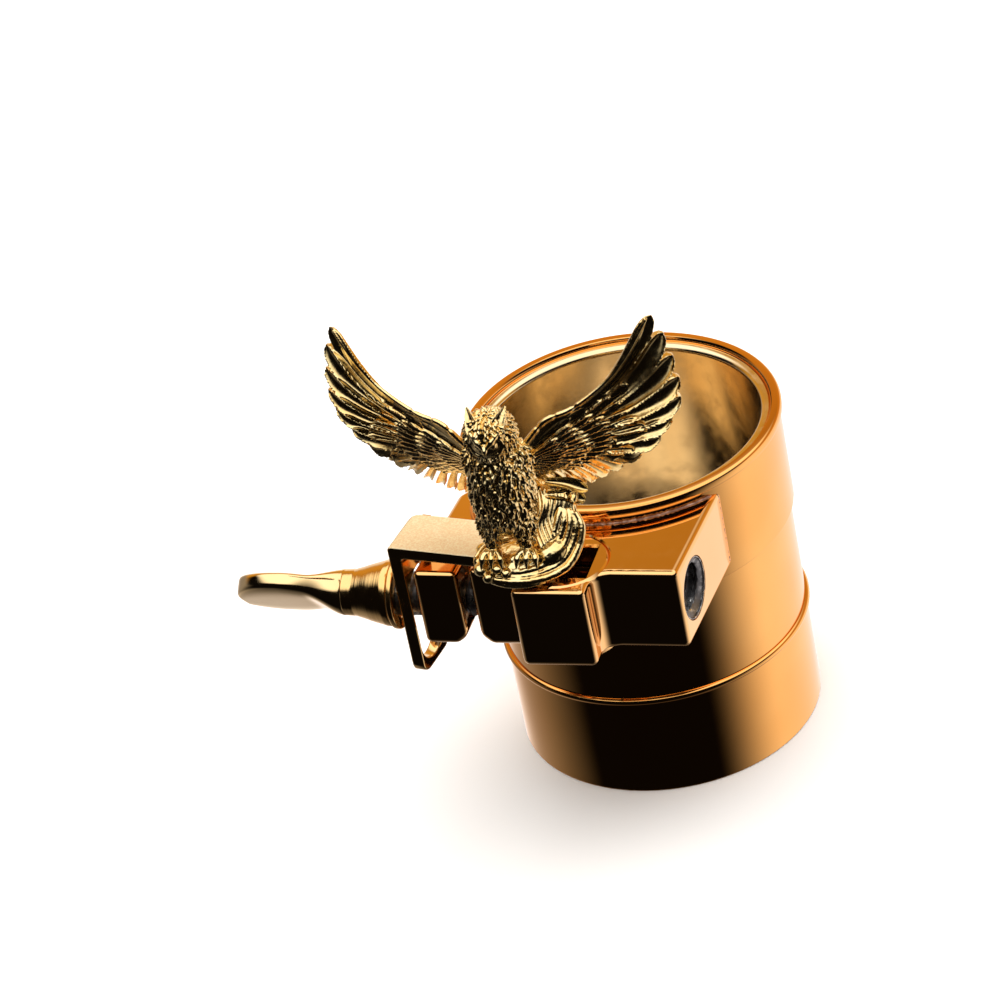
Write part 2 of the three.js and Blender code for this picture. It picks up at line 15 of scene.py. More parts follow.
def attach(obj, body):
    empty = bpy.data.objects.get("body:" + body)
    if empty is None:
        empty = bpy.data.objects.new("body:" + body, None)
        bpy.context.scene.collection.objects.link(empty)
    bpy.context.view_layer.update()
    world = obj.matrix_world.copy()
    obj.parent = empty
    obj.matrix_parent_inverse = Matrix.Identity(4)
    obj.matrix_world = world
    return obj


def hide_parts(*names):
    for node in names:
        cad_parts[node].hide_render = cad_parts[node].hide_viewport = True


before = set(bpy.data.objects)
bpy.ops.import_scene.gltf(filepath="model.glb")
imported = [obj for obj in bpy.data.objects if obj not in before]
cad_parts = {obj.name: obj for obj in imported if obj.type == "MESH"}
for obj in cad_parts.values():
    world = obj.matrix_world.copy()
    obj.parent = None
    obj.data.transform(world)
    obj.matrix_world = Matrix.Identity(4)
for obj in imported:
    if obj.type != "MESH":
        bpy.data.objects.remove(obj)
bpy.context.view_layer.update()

MM = 0.001

# ---------- driving dimensions, in millimetres ----------

# Receiver tube
BORE_R = 12.2
SLEEVE_R = 13.1
SKIRT_R = 13.5
COLLAR_R = 13.9
RIM_R = 14.15
RIM_H = 0.9
RECEIVER_H = 30.4
COLLAR_FOOT_Z = 20.4
BEAD_Z = 9.85
BEAD_WIRE_R = 0.35
SKIN_R = SLEEVE_R + 0.02  # inner radius of the pieces around the sleeve
TUBE_SEGMENTS = 256
SMALL_EDGE_R = 0.12
SLACK = 0.01  # keeps touching pieces apart

# Lugs and lyre block
LUG_TOP_Z = 28.9
LUG_FOOT_Z = 21.2
LUG_FRONT_Y = -20.9
LUG_LEFT_X = -13.4
SLIT_LEFT_X = -9.5
SLIT_RIGHT_X = -8.4
SLIT_FOOT_Z = 21
SLIT_CHAMFER = 0.9  # along each leg
LUG_RIGHT_X = 9.9
LUG_RIGHT_FLARE_X = 10.8
LUG_EDGE_R = 0.58
LEFT_LUG_TOP_FRONT_Z = 28.6
LEFT_LUG_TOP_BACK_Z = 27
LUG_BACK_Y = -6
LUG_FLARE_Y = -8  # where the right face reaches LUG_RIGHT_FLARE_X

# Lyre socket
SOCKET_FRONT_Y = -23.8
SOCKET_LEFT_X = -3.95
SOCKET_RIGHT_X = 2.6
SOCKET_FILLET_R = 1.5
BUSH_X = -0.3
BUSH_Y = -19.2
BUSH_R = 3.9
SQUARE_X = 4.8
SQUARE_Y = 4.5

# Screws
SCREW_Y = -17.6
SCREW_Z = 24.2
SCREW_R = 1.9
SCREW_CLEARANCE = 0.3
SCREW_TIP_X = -5
SCREW_PITCH = 0.7
THREAD_DEPTH = 0.4
LYRE_THREAD_DEPTH = 0.55
INSERT_R = 2.8
INSERT_END_X = -4.9
LYRE_SCREW_Y = -17.65
LYRE_SCREW_Z = 25.15
LYRE_THREAD_R = 2.2
LYRE_INSERT_R = 2.75
LYRE_INSERT_LENGTH = 4.5
LYRE_PITCH = 0.9
THREAD_STEPS = 14  # rows of points for one pitch
ROUND_SEGMENTS = 96

# Thumbscrew head
WASHER_X = -15.95
WASHER_R = 3.1
WASHER_THICKNESS = 0.5
HEAD_X = -16.5
HEAD_R = 2.9
WAIST_X = -20.9
WAIST_R = 2
PADDLE_TIP_X = -30.7
PADDLE_HALF_WIDTH = 4.3
PADDLE_THICKNESS = 1.9
PADDLE_MIDDLE = 0.52  # where it is widest, as a share of its length
PADDLE_TURN = math.radians(-49)

# Bracket, in its own frame
BRACKET_X = -15.25
BRACKET_YAW = math.radians(-8.5)
BRACKET_FRONT = -2.2
BRACKET_BACK = 2.95
BRACKET_LENGTH = 12
BRACKET_THICKNESS = 1.15
BRACKET_TOP_Z = 30.5
BRACKET_FOOT_Z = 17.2
BRACKET_CORNER_R = 1.1
BRACKET_BEND_R = 0.45
SLOT_Y = 0.25
SLOT_WIDTH = 4.25
SLOT_FOOT_Z = 17.85
SLOT_TOP_Z = 27
PEG_X = 9.6
PEG_R = 0.8
PEG_HEAD_R = 1.4
PEG_HEAD_H = 0.7
PEG_TOP_Z = 31.4

# Owl, in its own frame: x along the wings, -y where it looks
OWL_X = -3.6
OWL_Y = -21
OWL_YAW = math.radians(3)
TORSO_CENTRE = (0, 0, 37.7)
TORSO_RADII = (2.6, 2.4, 4.7)
HEAD_CENTRE = (0, -0.3, 42.9)
HEAD_RADII = (2.05, 2.05, 2.2)
EAR_SPREAD = 1.65
EAR_TIP_Z = 45.8
CASTING_VOXEL = 0.075
ROCK_FOOT_Z = 29.3
SHOULDER = (1.7, 0.25, 40.2)
THIGH = (1.3, -0.7, 34.6)

# Surface of the wings, and the point that their coverts fan out from
WING_ROOT_Y = -0.484
WING_SWEEP = 0.38
WING_LEAN = 0.163
WING_CURL = 0.024
WING_MIDDLE_Z = 42
FAN_S = 1.6
FAN_Z = 40.0
FAN_SQUASH = 0.62

IN_PART = Matrix.Identity(4)
IN_BRACKET = Matrix.Translation((BRACKET_X, SCREW_Y, 0)) @ Matrix.Rotation(BRACKET_YAW, 4, "Z")
IN_OWL = Matrix.Translation((OWL_X, OWL_Y, 0)) @ Matrix.Rotation(OWL_YAW, 4, "Z")
ON_SCREW = Matrix.Translation((0, SCREW_Y, SCREW_Z))


# ---------- camera and studio ----------

CAMERA_AZIMUTH = 0.379906
CAMERA_ELEVATION = 0.571609
CAMERA_ROLL = -0.206533
CAMERA_TARGET = Vector((0, -12, 22.13))
CAMERA_OFFSET = (-8.62225, 6.54564, 384.46278)  # right, up and back from the target
CAMERA_LENS = 161.797


def add_camera():
    az, el, roll = CAMERA_AZIMUTH, CAMERA_ELEVATION, CAMERA_ROLL
    back = Vector((math.sin(az) * math.cos(el), -math.cos(az) * math.cos(el), math.sin(el)))
    level = Vector((math.cos(az), math.sin(az), 0))
    upright = back.cross(level)
    right = math.cos(roll) * level + math.sin(roll) * upright
    up = -math.sin(roll) * level + math.cos(roll) * upright
    offset = CAMERA_OFFSET[0] * right + CAMERA_OFFSET[1] * up + CAMERA_OFFSET[2] * back
    data = bpy.data.cameras.new("camera")
    data.lens = CAMERA_LENS
    data.sensor_width = 36
    data.clip_start = 0.01
    data.clip_end = 20
    camera = bpy.data.objects.new("camera", data)
    bpy.context.scene.collection.objects.link(camera)
    turn = Matrix((right, up, back)).transposed().to_4x4()
    camera.matrix_world = Matrix.Translation((CAMERA_TARGET + offset) * MM) @ turn
    bpy.context.scene.camera = camera


def ramp_node(tree, source, low, high, start=0.0, end=1.0):
    """A smooth step from start to end as the source goes from low to high"""
    node = tree.nodes.new("ShaderNodeMapRange")
    node.interpolation_type = "SMOOTHSTEP"
    node.inputs["From Min"].default_value = low
    node.inputs["From Max"].default_value = high
    node.inputs["To Min"].default_value = start
    node.inputs["To Max"].default_value = end
    tree.links.new(source, node.inputs["Value"])
    return node.outputs["Result"]


def math_node(tree, operation, a, b):
    node = tree.nodes.new("ShaderNodeMath")
    node.operation = operation
    for socket, value in zip(node.inputs, (a, b)):
        if isinstance(value, (int, float)):
            socket.default_value = value
        else:
            tree.links.new(value, socket)
    return node.outputs[0]


def add_studio():
    """A dark side behind the camera, a white side behind the object and a soft box overhead"""
    world = bpy.data.worlds.new("studio")
    world.use_nodes = True
    bpy.context.scene.world = world
    tree = world.node_tree
    tree.nodes.clear()
    place = tree.nodes.new("ShaderNodeTexCoord")
    split = tree.nodes.new("ShaderNodeSeparateXYZ")
    tree.links.new(place.outputs["Generated"], split.inputs[0])
    x, y, z = split.outputs

    behind = ramp_node(tree, y, -0.56, 0.3)
    below = ramp_node(tree, z, 0.02, 0.3, 1.0, 0.0)
    low = math_node(tree, "MULTIPLY", behind, below)
    low = math_node(tree, "MULTIPLY", low, ramp_node(tree, x, -0.85, -0.35, 0.24, 1.0))
    low = math_node(tree, "MULTIPLY", low, ramp_node(tree, z, -0.95, -0.66, 0.12, 1.0))
    high = ramp_node(tree, z, 0.56, 0.76)
    rise = ramp_node(tree, z, 0.02, 0.3)
    fall = ramp_node(tree, z, 0.45, 0.8, 1.0, 0.0)
    amber = math_node(tree, "MULTIPLY", rise, fall)
    back = math_node(tree, "MULTIPLY", ramp_node(tree, y, 0.0, 0.4), amber)

    total = None
    for factor, colour in (
        (low, (1.16, 1.06, 1.02, 1)),
        (high, (1.5, 1.46, 1.4, 1)),
        (back, (0.66, 0.34, 0.05, 1)),
    ):
        shade = tree.nodes.new("ShaderNodeMix")
        shade.data_type = "RGBA"
        shade.inputs["A"].default_value = (0.0012, 0.001, 0.0009, 1)
        shade.inputs["B"].default_value = colour
        tree.links.new(factor, shade.inputs["Factor"])
        result = [s for s in shade.outputs if s.type == "RGBA"][0]
        if total is None:
            total = result
            continue
        add = tree.nodes.new("ShaderNodeMix")
        add.data_type = "RGBA"
        add.blend_type = "ADD"
        add.inputs["Factor"].default_value = 1
        tree.links.new(total, add.inputs["A"])
        tree.links.new(result, add.inputs["B"])
        total = [s for s in add.outputs if s.type == "RGBA"][0]

    seen = tree.nodes.new("ShaderNodeBackground")
    seen.inputs["Color"].default_value = (1, 1, 1, 1)
    lit = tree.nodes.new("ShaderNodeBackground")
    tree.links.new(total, lit.inputs["Color"])
    path = tree.nodes.new("ShaderNodeLightPath")
    mix = tree.nodes.new("ShaderNodeMixShader")
    tree.links.new(path.outputs["Is Camera Ray"], mix.inputs["Fac"])
    tree.links.new(lit.outputs[0], mix.inputs[1])
    tree.links.new(seen.outputs[0], mix.inputs[2])
    out = tree.nodes.new("ShaderNodeOutputWorld")
    tree.links.new(mix.outputs[0], out.inputs["Surface"])

    fill = bpy.data.lights.new("floor_fill", "SUN")
    fill.energy = 2.4
    fill.angle = math.radians(70)
    fill_object = bpy.data.objects.new("floor_fill", fill)
    fill_object.visible_glossy = False
    bpy.context.scene.collection.objects.link(fill_object)

    size = 3
    corners = [(-size, -size, 0), (size, -size, 0), (size, size, 0), (-size, size, 0)]
    mesh = bpy.data.meshes.new("floor")
    mesh.from_pydata(corners, [], [(0, 1, 2, 3)])
    floor = bpy.data.objects.new("floor", mesh)
    bpy.context.scene.collection.objects.link(floor)
    mesh.materials.append(floor_material())
    floor.visible_glossy = False
    floor.location.z = -0.00002
    bpy.context.scene.view_settings.view_transform = "Standard"


# ---------- materials ----------


def new_material(name):
    material = bpy.data.materials.new(name)
    material.use_nodes = True
    tree = material.node_tree
    shader = tree.nodes["Principled BSDF"]
    place = tree.nodes.new("ShaderNodeTexCoord")
    return material, tree, shader, place.outputs["Object"]


def noise_node(tree, place, scale, detail=3.0, stretch=None):
    node = tree.nodes.new("ShaderNodeTexNoise")
    node.inputs["Scale"].default_value = scale
    node.inputs["Detail"].default_value = detail
    if stretch:
        mapping = tree.nodes.new("ShaderNodeMapping")
        mapping.inputs["Scale"].default_value = stretch
        tree.links.new(place, mapping.inputs["Vector"])
        place = mapping.outputs[0]
    tree.links.new(place, node.inputs["Vector"])
    return node.outputs["Fac"]


def mix_colours(tree, factor, a, b):
    node = tree.nodes.new("ShaderNodeMix")
    node.data_type = "RGBA"
    for socket, value in ((node.inputs["A"], a), (node.inputs["B"], b)):
        if isinstance(value, tuple):
            socket.default_value = (*value, 1)
        else:
            tree.links.new(value, socket)
    tree.links.new(factor, node.inputs["Factor"])
    return [s for s in node.outputs if s.type == "RGBA"][0]


def bump(tree, shader, height, strength, distance):
    node = tree.nodes.new("ShaderNodeBump")
    node.inputs["Strength"].default_value = strength
    node.inputs["Distance"].default_value = distance * MM
    tree.links.new(height, node.inputs["Height"])
    tree.links.new(node.outputs["Normal"], shader.inputs["Normal"])


def floor_material():
    material, tree, shader, place = new_material("floor_white")
    shade = noise_node(tree, place, 3)
    colour = mix_colours(tree, shade, (0.93, 0.93, 0.93), (0.95, 0.95, 0.95))
    tree.links.new(colour, shader.inputs["Base Color"])
    shader.inputs["Roughness"].default_value = 0.9
    return material


def polished(name, light, deep, rough=(0.03, 0.09), grain=None, coat=0.1):
    """Lacquered brass: slow colour drift, faint haze and pinholes"""
    material, tree, shader, place = new_material(name)
    drift = ramp_node(tree, noise_node(tree, place, 90, 2), 0.3, 0.7)
    tree.links.new(mix_colours(tree, drift, light, deep), shader.inputs["Base Color"])
    haze = noise_node(tree, place, 700, 6)
    tree.links.new(ramp_node(tree, haze, 0.35, 0.75, *rough), shader.inputs["Roughness"])
    shader.inputs["Metallic"].default_value = 1
    shader.inputs["Coat Weight"].default_value = coat
    shader.inputs["Coat Roughness"].default_value = 0.04
    surface = noise_node(tree, place, 420, 2) if grain is None else grain(tree, place)
    bump(tree, shader, surface, 0.05 if grain is None else 0.35, 0.05 if grain is None else 0.02)
    return material


def turned_grain(tree, place):
    """Fine rings round the screw's axis"""
    return noise_node(tree, place, 1, 4, (7000, 200, 200))


def sanded(name, light, deep):
    material, tree, shader, place = new_material(name)
    grain = noise_node(tree, place, 7000, 4)
    speck = ramp_node(tree, grain, 0.38, 0.66)
    tree.links.new(mix_colours(tree, speck, deep, light), shader.inputs["Base Color"])
    rough = ramp_node(tree, noise_node(tree, place, 2500, 3), 0.3, 0.7, 0.45, 0.62)
    tree.links.new(rough, shader.inputs["Roughness"])
    shader.inputs["Metallic"].default_value = 0.64
    bump(tree, shader, grain, 0.8, 0.08)
    return material


def cast_gold(name, light, deep, hollow_shade):
    """Gold plate on a casting: bright on the ridges, and brown in the hollows as painted shade and painted
    amber reflection
    """
    material, tree, shader, place = new_material(name)
    geometry = tree.nodes.new("ShaderNodeNewGeometry")
    # Painted shade and painted amber reflection: by pointiness, the hollows take the third, darker colour in
    # place of the plate's colour
    ridge = ramp_node(tree, geometry.outputs["Pointiness"], 0.42, 0.52)
    drift = ramp_node(tree, noise_node(tree, place, 500, 3), 0.35, 0.65)
    body = mix_colours(tree, drift, light, deep)
    tree.links.new(mix_colours(tree, ridge, hollow_shade, body), shader.inputs["Base Color"])
    haze = ramp_node(tree, noise_node(tree, place, 1800, 4), 0.3, 0.7, 0.11, 0.22)
    tree.links.new(haze, shader.inputs["Roughness"])
    shader.inputs["Metallic"].default_value = 1
    bump(tree, shader, noise_node(tree, place, 3500, 3), 0.2, 0.02)
    return material


def dark_thread(name):
    material, tree, shader, place = new_material(name)
    wear = ramp_node(tree, noise_node(tree, place, 1500, 5), 0.45, 0.75)
    colour = mix_colours(tree, wear, (0.22, 0.22, 0.23), (0.75, 0.75, 0.74))
    tree.links.new(colour, shader.inputs["Base Color"])
    tree.links.new(ramp_node(tree, wear, 0, 1, 0.42, 0.22), shader.inputs["Roughness"])
    shader.inputs["Metallic"].default_value = 1
    bump(tree, shader, noise_node(tree, place, 3000, 4), 0.4, 0.04)
    return material


def solder(name):
    material, tree, shader, place = new_material(name)
    tint = ramp_node(tree, noise_node(tree, place, 1600, 4), 0.4, 0.65)
    colour = mix_colours(tree, tint, (0.4, 0.23, 0.18), (0.72, 0.5, 0.42))
    tree.links.new(colour, shader.inputs["Base Color"])
    tree.links.new(ramp_node(tree, tint, 0, 1, 0.45, 0.3), shader.inputs["Roughness"])
    shader.inputs["Metallic"].default_value = 1
    bump(tree, shader, noise_node(tree, place, 5000, 4), 1.0, 0.1)
    return material


TUBE = polished("tube_lacquer_orange", (0.95, 0.50, 0.155), (0.90, 0.44, 0.12))
LUG = polished("lug_lacquer_orange", (0.95, 0.58, 0.25), (0.91, 0.52, 0.20))
TURNED = polished("turned_lacquer", (0.95, 0.66, 0.30), (0.90, 0.55, 0.2), (0.08, 0.2), turned_grain)
EDGE = polished("bracket_polished_edge", (0.95, 0.70, 0.36), (0.9, 0.6, 0.26), (0.08, 0.16))
SANDED = sanded("bracket_sandblasted", (1.0, 0.86, 0.58), (0.93, 0.70, 0.40))
BARE = polished("bore_bare_brass", (0.93, 0.76, 0.48), (0.86, 0.66, 0.38), (0.12, 0.25), coat=0.0)
# The third colour is painted shade and painted amber reflection for the casting's hollows
CAST = cast_gold("owl_cast_gold", (1.0, 0.82, 0.44), (0.97, 0.70, 0.30), (0.62, 0.33, 0.07))
THREAD = dark_thread("thread_blackened")
SOLDER = solder("solder_seam_grey")


# ---------- mesh tools ----------


def mesh_of(name, verts, faces):
    mesh = bpy.data.meshes.new(name)
    mesh.from_pydata([tuple(v) for v in verts], [], [tuple(int(i) for i in f) for f in faces])
    mesh.update()
    return mesh


def linked(mesh, name="scratch"):
    thing = bpy.data.objects.new(name, mesh)
    bpy.context.scene.collection.objects.link(thing)
    return thing


def modified(mesh, *steps):
    """The mesh after each step, a modifier's kind and its settings"""
    thing = linked(mesh)
    for kind, settings in steps:
        modifier = thing.modifiers.new(kind, kind)
        for key, value in settings.items():
            setattr(modifier, key, value)
    graph = bpy.context.evaluated_depsgraph_get()
    result = bpy.data.meshes.new_from_object(thing.evaluated_get(graph))
    bpy.data.objects.remove(thing)
    return result


def cut(mesh, *cutters, operation="DIFFERENCE"):
    for cutter in cutters:
        tool = linked(cutter)
        mesh = modified(mesh, ("BOOLEAN", {"operation": operation, "object": tool, "solver": "EXACT"}))
        bpy.data.objects.remove(tool)
    return mesh


def bevelled(mesh, width, segments=6):
    settings = {
        "width": width,
        "segments": segments,
        "limit_method": "ANGLE",
        "angle_limit": math.radians(28),
        "use_clamp_overlap": False,
    }
    return modified(mesh, ("BEVEL", settings))


def show(name, mesh, material, body, slot, *nodes, place=IN_PART, sharp=32, weighted=True, extra=()):
    """Puts a finished mesh, drawn in millimetres, in the scene as a piece that stands for CAD nodes"""
    mesh.transform(Matrix.Scale(MM, 4) @ place)
    mesh.materials.clear()
    for each in (material, *extra):
        mesh.materials.append(each)
    for polygon in mesh.polygons:
        polygon.use_smooth = True
    mesh.set_sharp_from_angle(angle=math.radians(sharp))
    if weighted:
        settings = {"mode": "FACE_AREA", "weight": 90, "keep_sharp": True}
        mesh = modified(mesh, ("WEIGHTED_NORMAL", settings))
    mesh.name = name
    piece = linked(mesh, name)
    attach(piece, body)
    if nodes:
        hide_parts(*nodes)
    return piece


def ring_faces(count, around, closed=False):
    """Quads between neighbouring rings of points, and from the last to the first when closed"""
    faces = []
    for i in range(count if closed else count - 1):
        j = (i + 1) % count
        for k in range(around):
            m = (k + 1) % around
            faces.append((i * around + k, i * around + m, j * around + m, j * around + k))
    return faces


def ring_cap(i, around):
    return tuple(i * around + k for k in range(around))


def turned(points, axis="Z", segments=ROUND_SEGMENTS, closed=True, pitch=None):
    """A body of revolution from (station, radius, thread depth) rows, a ring when closed"""
    rows = []
    angles = [2 * math.pi * k / segments for k in range(segments)]
    for station, radius, *depth in points:
        for angle in angles:
            r = radius
            if depth and depth[0]:
                phase = (station / pitch - angle / (2 * math.pi)) % 1
                r += depth[0] * (abs(2 * phase - 1) - 0.5)
            c, s = r * math.cos(angle), r * math.sin(angle)
            rows.append((c, s, station) if axis == "Z" else (station, c, s))
    faces = ring_faces(len(points), segments, closed)
    if not closed:
        faces += [ring_cap(0, segments)[::-1], ring_cap(len(points) - 1, segments)]
    return outward(mesh_of("turned", rows, faces))


def outward(mesh):
    work = bmesh.new()
    work.from_mesh(mesh)
    bmesh.ops.recalc_face_normals(work, faces=work.faces)
    work.to_mesh(mesh)
    work.free()
    return mesh


def arc(centre, radius, start, end, steps=6):
    """Points of an arc as (station, radius) pairs, angles in degrees from the radius axis"""
    for k in range(steps + 1):
        angle = math.radians(start + (end - start) * k / steps)
        yield centre[0] + radius * math.sin(angle), centre[1] + radius * math.cos(angle)


def prism(outline, low, high, axis="Z"):
    """A flat outline of (a, b) points, extruded from low to high along the axis"""
    def corner(a, b, h):
        return {"Z": (a, b, h), "X": (h, a, b), "Y": (a, h, b)}[axis]

    count = len(outline)
    verts = [corner(a, b, low) for a, b in outline] + [corner(a, b, high) for a, b in outline]
    faces = [tuple(range(count)), tuple(range(count, 2 * count))]
    faces += [(k, (k + 1) % count, count + (k + 1) % count, count + k) for k in range(count)]
    return outward(mesh_of("prism", verts, faces))


def block(x0, x1, y0, y1, z0, z1):
    return prism([(x0, y0), (x1, y0), (x1, y1), (x0, y1)], z0, z1)


def rod(x0, x1, y, z, radius):
    """A rod along X"""
    mesh = turned([(x0, radius), (x1, radius)], axis="X", closed=False)
    mesh.transform(Matrix.Translation((0, y, z)))
    return mesh


def rounded_corner(centre, radius, start, end, steps=8):
    """Points of an arc in a flat outline, angles in degrees from the first axis"""
    for k in range(steps + 1):
        angle = math.radians(start + (end - start) * k / steps)
        yield centre[0] + radius * math.cos(angle), centre[1] + radius * math.sin(angle)


# ---------- receiver ----------

SLIT = (SLIT_LEFT_X, SLIT_RIGHT_X, -20, -5, SLIT_FOOT_Z, RECEIVER_H + 1)


def add_receiver():
    sleeve = [
        (0.15, BORE_R), (0, BORE_R + 0.15), (0, SLEEVE_R),
        (RECEIVER_H - 0.5, SLEEVE_R), (RECEIVER_H - 0.4, SLEEVE_R - 0.1),
        *arc((RECEIVER_H - 0.9, BORE_R + 0.5), 0.5, 90, 180),
    ]
    show("neck_socket_tube", cut(turned(sleeve, segments=TUBE_SEGMENTS), block(*SLIT)),
         BARE, "receiver", "tube_lacquer", "neck_socket_sleeve")

    upper = [
        (BEAD_Z + BEAD_WIRE_R, SKIN_R), (BEAD_Z + BEAD_WIRE_R, SKIRT_R),
        (COLLAR_FOOT_Z - 0.1, SKIRT_R), (COLLAR_FOOT_Z - 0.02, SKIN_R),
    ]
    show("receiver_upper_skirt", turned(upper, segments=TUBE_SEGMENTS),
         TUBE, "receiver", "tube_lacquer", "upper_skirt")
    lower = [
        (0, SKIN_R), (0, SKIRT_R - SMALL_EDGE_R),
        *arc((SMALL_EDGE_R, SKIRT_R - SMALL_EDGE_R), SMALL_EDGE_R, -90, 0, 4),
        (BEAD_Z - BEAD_WIRE_R, SKIRT_R), (BEAD_Z - BEAD_WIRE_R, SKIN_R),
    ]
    show("receiver_lower_skirt", turned(lower, segments=TUBE_SEGMENTS),
         TUBE, "receiver", "tube_lacquer", "lower_skirt")
    wire = [
        (BEAD_Z - BEAD_WIRE_R + 0.01, SKIN_R),
        *arc((BEAD_Z, SKIRT_R), BEAD_WIRE_R - 0.01, -90, 90, 14),
        (BEAD_Z + BEAD_WIRE_R - 0.01, SKIN_R),
    ]
    show("bead_wire", turned(wire, segments=TUBE_SEGMENTS), TUBE, "receiver", "tube_lacquer", "bead_ring")

    rim_foot = RECEIVER_H - RIM_H
    collar = [
        (COLLAR_FOOT_Z, SKIN_R), (COLLAR_FOOT_Z, COLLAR_R - SMALL_EDGE_R),
        *arc((COLLAR_FOOT_Z + SMALL_EDGE_R, COLLAR_R - SMALL_EDGE_R), SMALL_EDGE_R, -90, 0, 4),
        (rim_foot - 0.15, COLLAR_R), (rim_foot, COLLAR_R + 0.03),
        *arc((rim_foot + 0.22, RIM_R - 0.2), 0.2, -70, 0, 4),
        *arc((RECEIVER_H - 0.35, RIM_R - 0.35), 0.35, 0, 90, 6),
        (RECEIVER_H, SLEEVE_R + 0.22), (RECEIVER_H - 0.1, SLEEVE_R + 0.12), (RECEIVER_H - 0.4, SKIN_R),
    ]
    show("split_collar", cut(turned(collar, segments=TUBE_SEGMENTS), block(*SLIT)),
         TUBE, "receiver", "tube_lacquer", "clamp_collar")


def collar_room():
    """What the collar takes out of the lug and the block"""
    rows = [(0, COLLAR_R + SLACK), (RECEIVER_H + 1, COLLAR_R + SLACK)]
    return turned(rows, segments=TUBE_SEGMENTS, closed=False)


def slit_chamfer(x):
    """A bar that takes the lower edge off at the slit"""
    leg, foot = SLIT_CHAMFER, LUG_FOOT_Z
    diamond = [(x - leg, foot), (x, foot - leg), (x + leg, foot), (x, foot + leg)]
    return prism(diamond, LUG_FRONT_Y - 4, LUG_FRONT_Y + 16, "Y")


def add_left_lug():
    outline = [
        (LUG_LEFT_X, LUG_FRONT_Y), (SLIT_LEFT_X, LUG_FRONT_Y), (SLIT_LEFT_X, -9),
        (LUG_LEFT_X + 0.9, -5.4), (LUG_LEFT_X, -7),
    ]
    length = LUG_BACK_Y - LUG_FRONT_Y
    fall = (LEFT_LUG_TOP_FRONT_Z - LEFT_LUG_TOP_BACK_Z) / length
    front, back = LUG_FRONT_Y - 1, LUG_FRONT_Y + length + 4
    top = [
        (front, LEFT_LUG_TOP_FRONT_Z + fall), (back, LEFT_LUG_TOP_BACK_Z - 4 * fall),
        (back, LUG_TOP_Z + 2), (front, LUG_TOP_Z + 2),
    ]
    lug = cut(prism(outline, LUG_FOOT_Z, LUG_TOP_Z), prism(top, LUG_LEFT_X - 1, SLIT_LEFT_X + 1, "X"))
    lug = bevelled(cut(lug, slit_chamfer(SLIT_LEFT_X)), LUG_EDGE_R)
    hole = rod(LUG_LEFT_X - 1, SLIT_LEFT_X + 1, SCREW_Y, SCREW_Z, SCREW_R + SCREW_CLEARANCE)
    show("clamp_lug_left", cut(lug, collar_room(), hole), LUG, "receiver", "lug_lacquer", "left_lug")


def add_lyre_block():
    outline = [
        (SLIT_RIGHT_X, LUG_FRONT_Y), (SOCKET_LEFT_X, LUG_FRONT_Y),
        (SOCKET_LEFT_X, SOCKET_FRONT_Y), (SOCKET_RIGHT_X, SOCKET_FRONT_Y),
    ]
    fillet = (SOCKET_RIGHT_X + SOCKET_FILLET_R, LUG_FRONT_Y - SOCKET_FILLET_R)
    outline += rounded_corner(fillet, SOCKET_FILLET_R, 180, 90, 12)
    outline += [(LUG_RIGHT_X, LUG_FRONT_Y), (LUG_RIGHT_FLARE_X, LUG_FLARE_Y), (8, -7), (SLIT_RIGHT_X, -7)]
    body = bevelled(cut(prism(outline, LUG_FOOT_Z, LUG_TOP_Z), slit_chamfer(SLIT_RIGHT_X)), LUG_EDGE_R)
    insert_hole = rod(SLIT_RIGHT_X - 1, INSERT_END_X, SCREW_Y, SCREW_Z, INSERT_R)
    bush_hole = turned(
        [(LUG_FOOT_Z - 1, BUSH_R), (LUG_TOP_Z - 0.12, BUSH_R), (LUG_TOP_Z + 1, BUSH_R + 1.12)], closed=False,
    )
    bush_hole.transform(Matrix.Translation((BUSH_X, BUSH_Y, 0)))
    lyre_hole = rod(BUSH_X, LUG_RIGHT_X + 2, LYRE_SCREW_Y, LYRE_SCREW_Z, LYRE_THREAD_R)
    insert_end = LUG_RIGHT_X - LYRE_INSERT_LENGTH - 0.05
    lyre_insert_hole = rod(insert_end, LUG_RIGHT_X + 2, LYRE_SCREW_Y, LYRE_SCREW_Z, LYRE_INSERT_R)
    body = cut(body, collar_room(), insert_hole, bush_hole, lyre_hole, lyre_insert_hole)
    show("lyre_block_body", body, LUG, "receiver", "lug_lacquer", "lyre_block")

    bush = turned([
        (LUG_FOOT_Z, BUSH_R - 0.1), (LUG_FOOT_Z + 0.1, BUSH_R - 0.01),
        (LUG_TOP_Z - 0.25, BUSH_R - 0.01), (LUG_TOP_Z - 0.02, BUSH_R - 0.24),
    ], closed=False)
    bush.transform(Matrix.Translation((BUSH_X, BUSH_Y, 0)))
    half_x, half_y, flare = SQUARE_X / 2, SQUARE_Y / 2, 0.22
    loops = []
    for z, grow in ((LUG_FOOT_Z - 1, 0), (LUG_TOP_Z - 0.02 - flare, 0), (LUG_TOP_Z + 0.98, flare + 1)):
        a, b = half_x + grow, half_y + grow
        loops += [(BUSH_X + i * a, BUSH_Y + j * b, z) for i, j in ((-1, -1), (1, -1), (1, 1), (-1, 1))]
    faces = [ring_cap(0, 4), ring_cap(2, 4), *ring_faces(3, 4)]
    square = outward(mesh_of("square", loops, faces))
    bush = cut(bush, square, rod(BUSH_X, BUSH_X + BUSH_R + 1, LYRE_SCREW_Y, LYRE_SCREW_Z, LYRE_THREAD_R))
    show("lyre_square_bush", bush, LUG, "receiver", "lug_lacquer", "lyre_socket_bush")


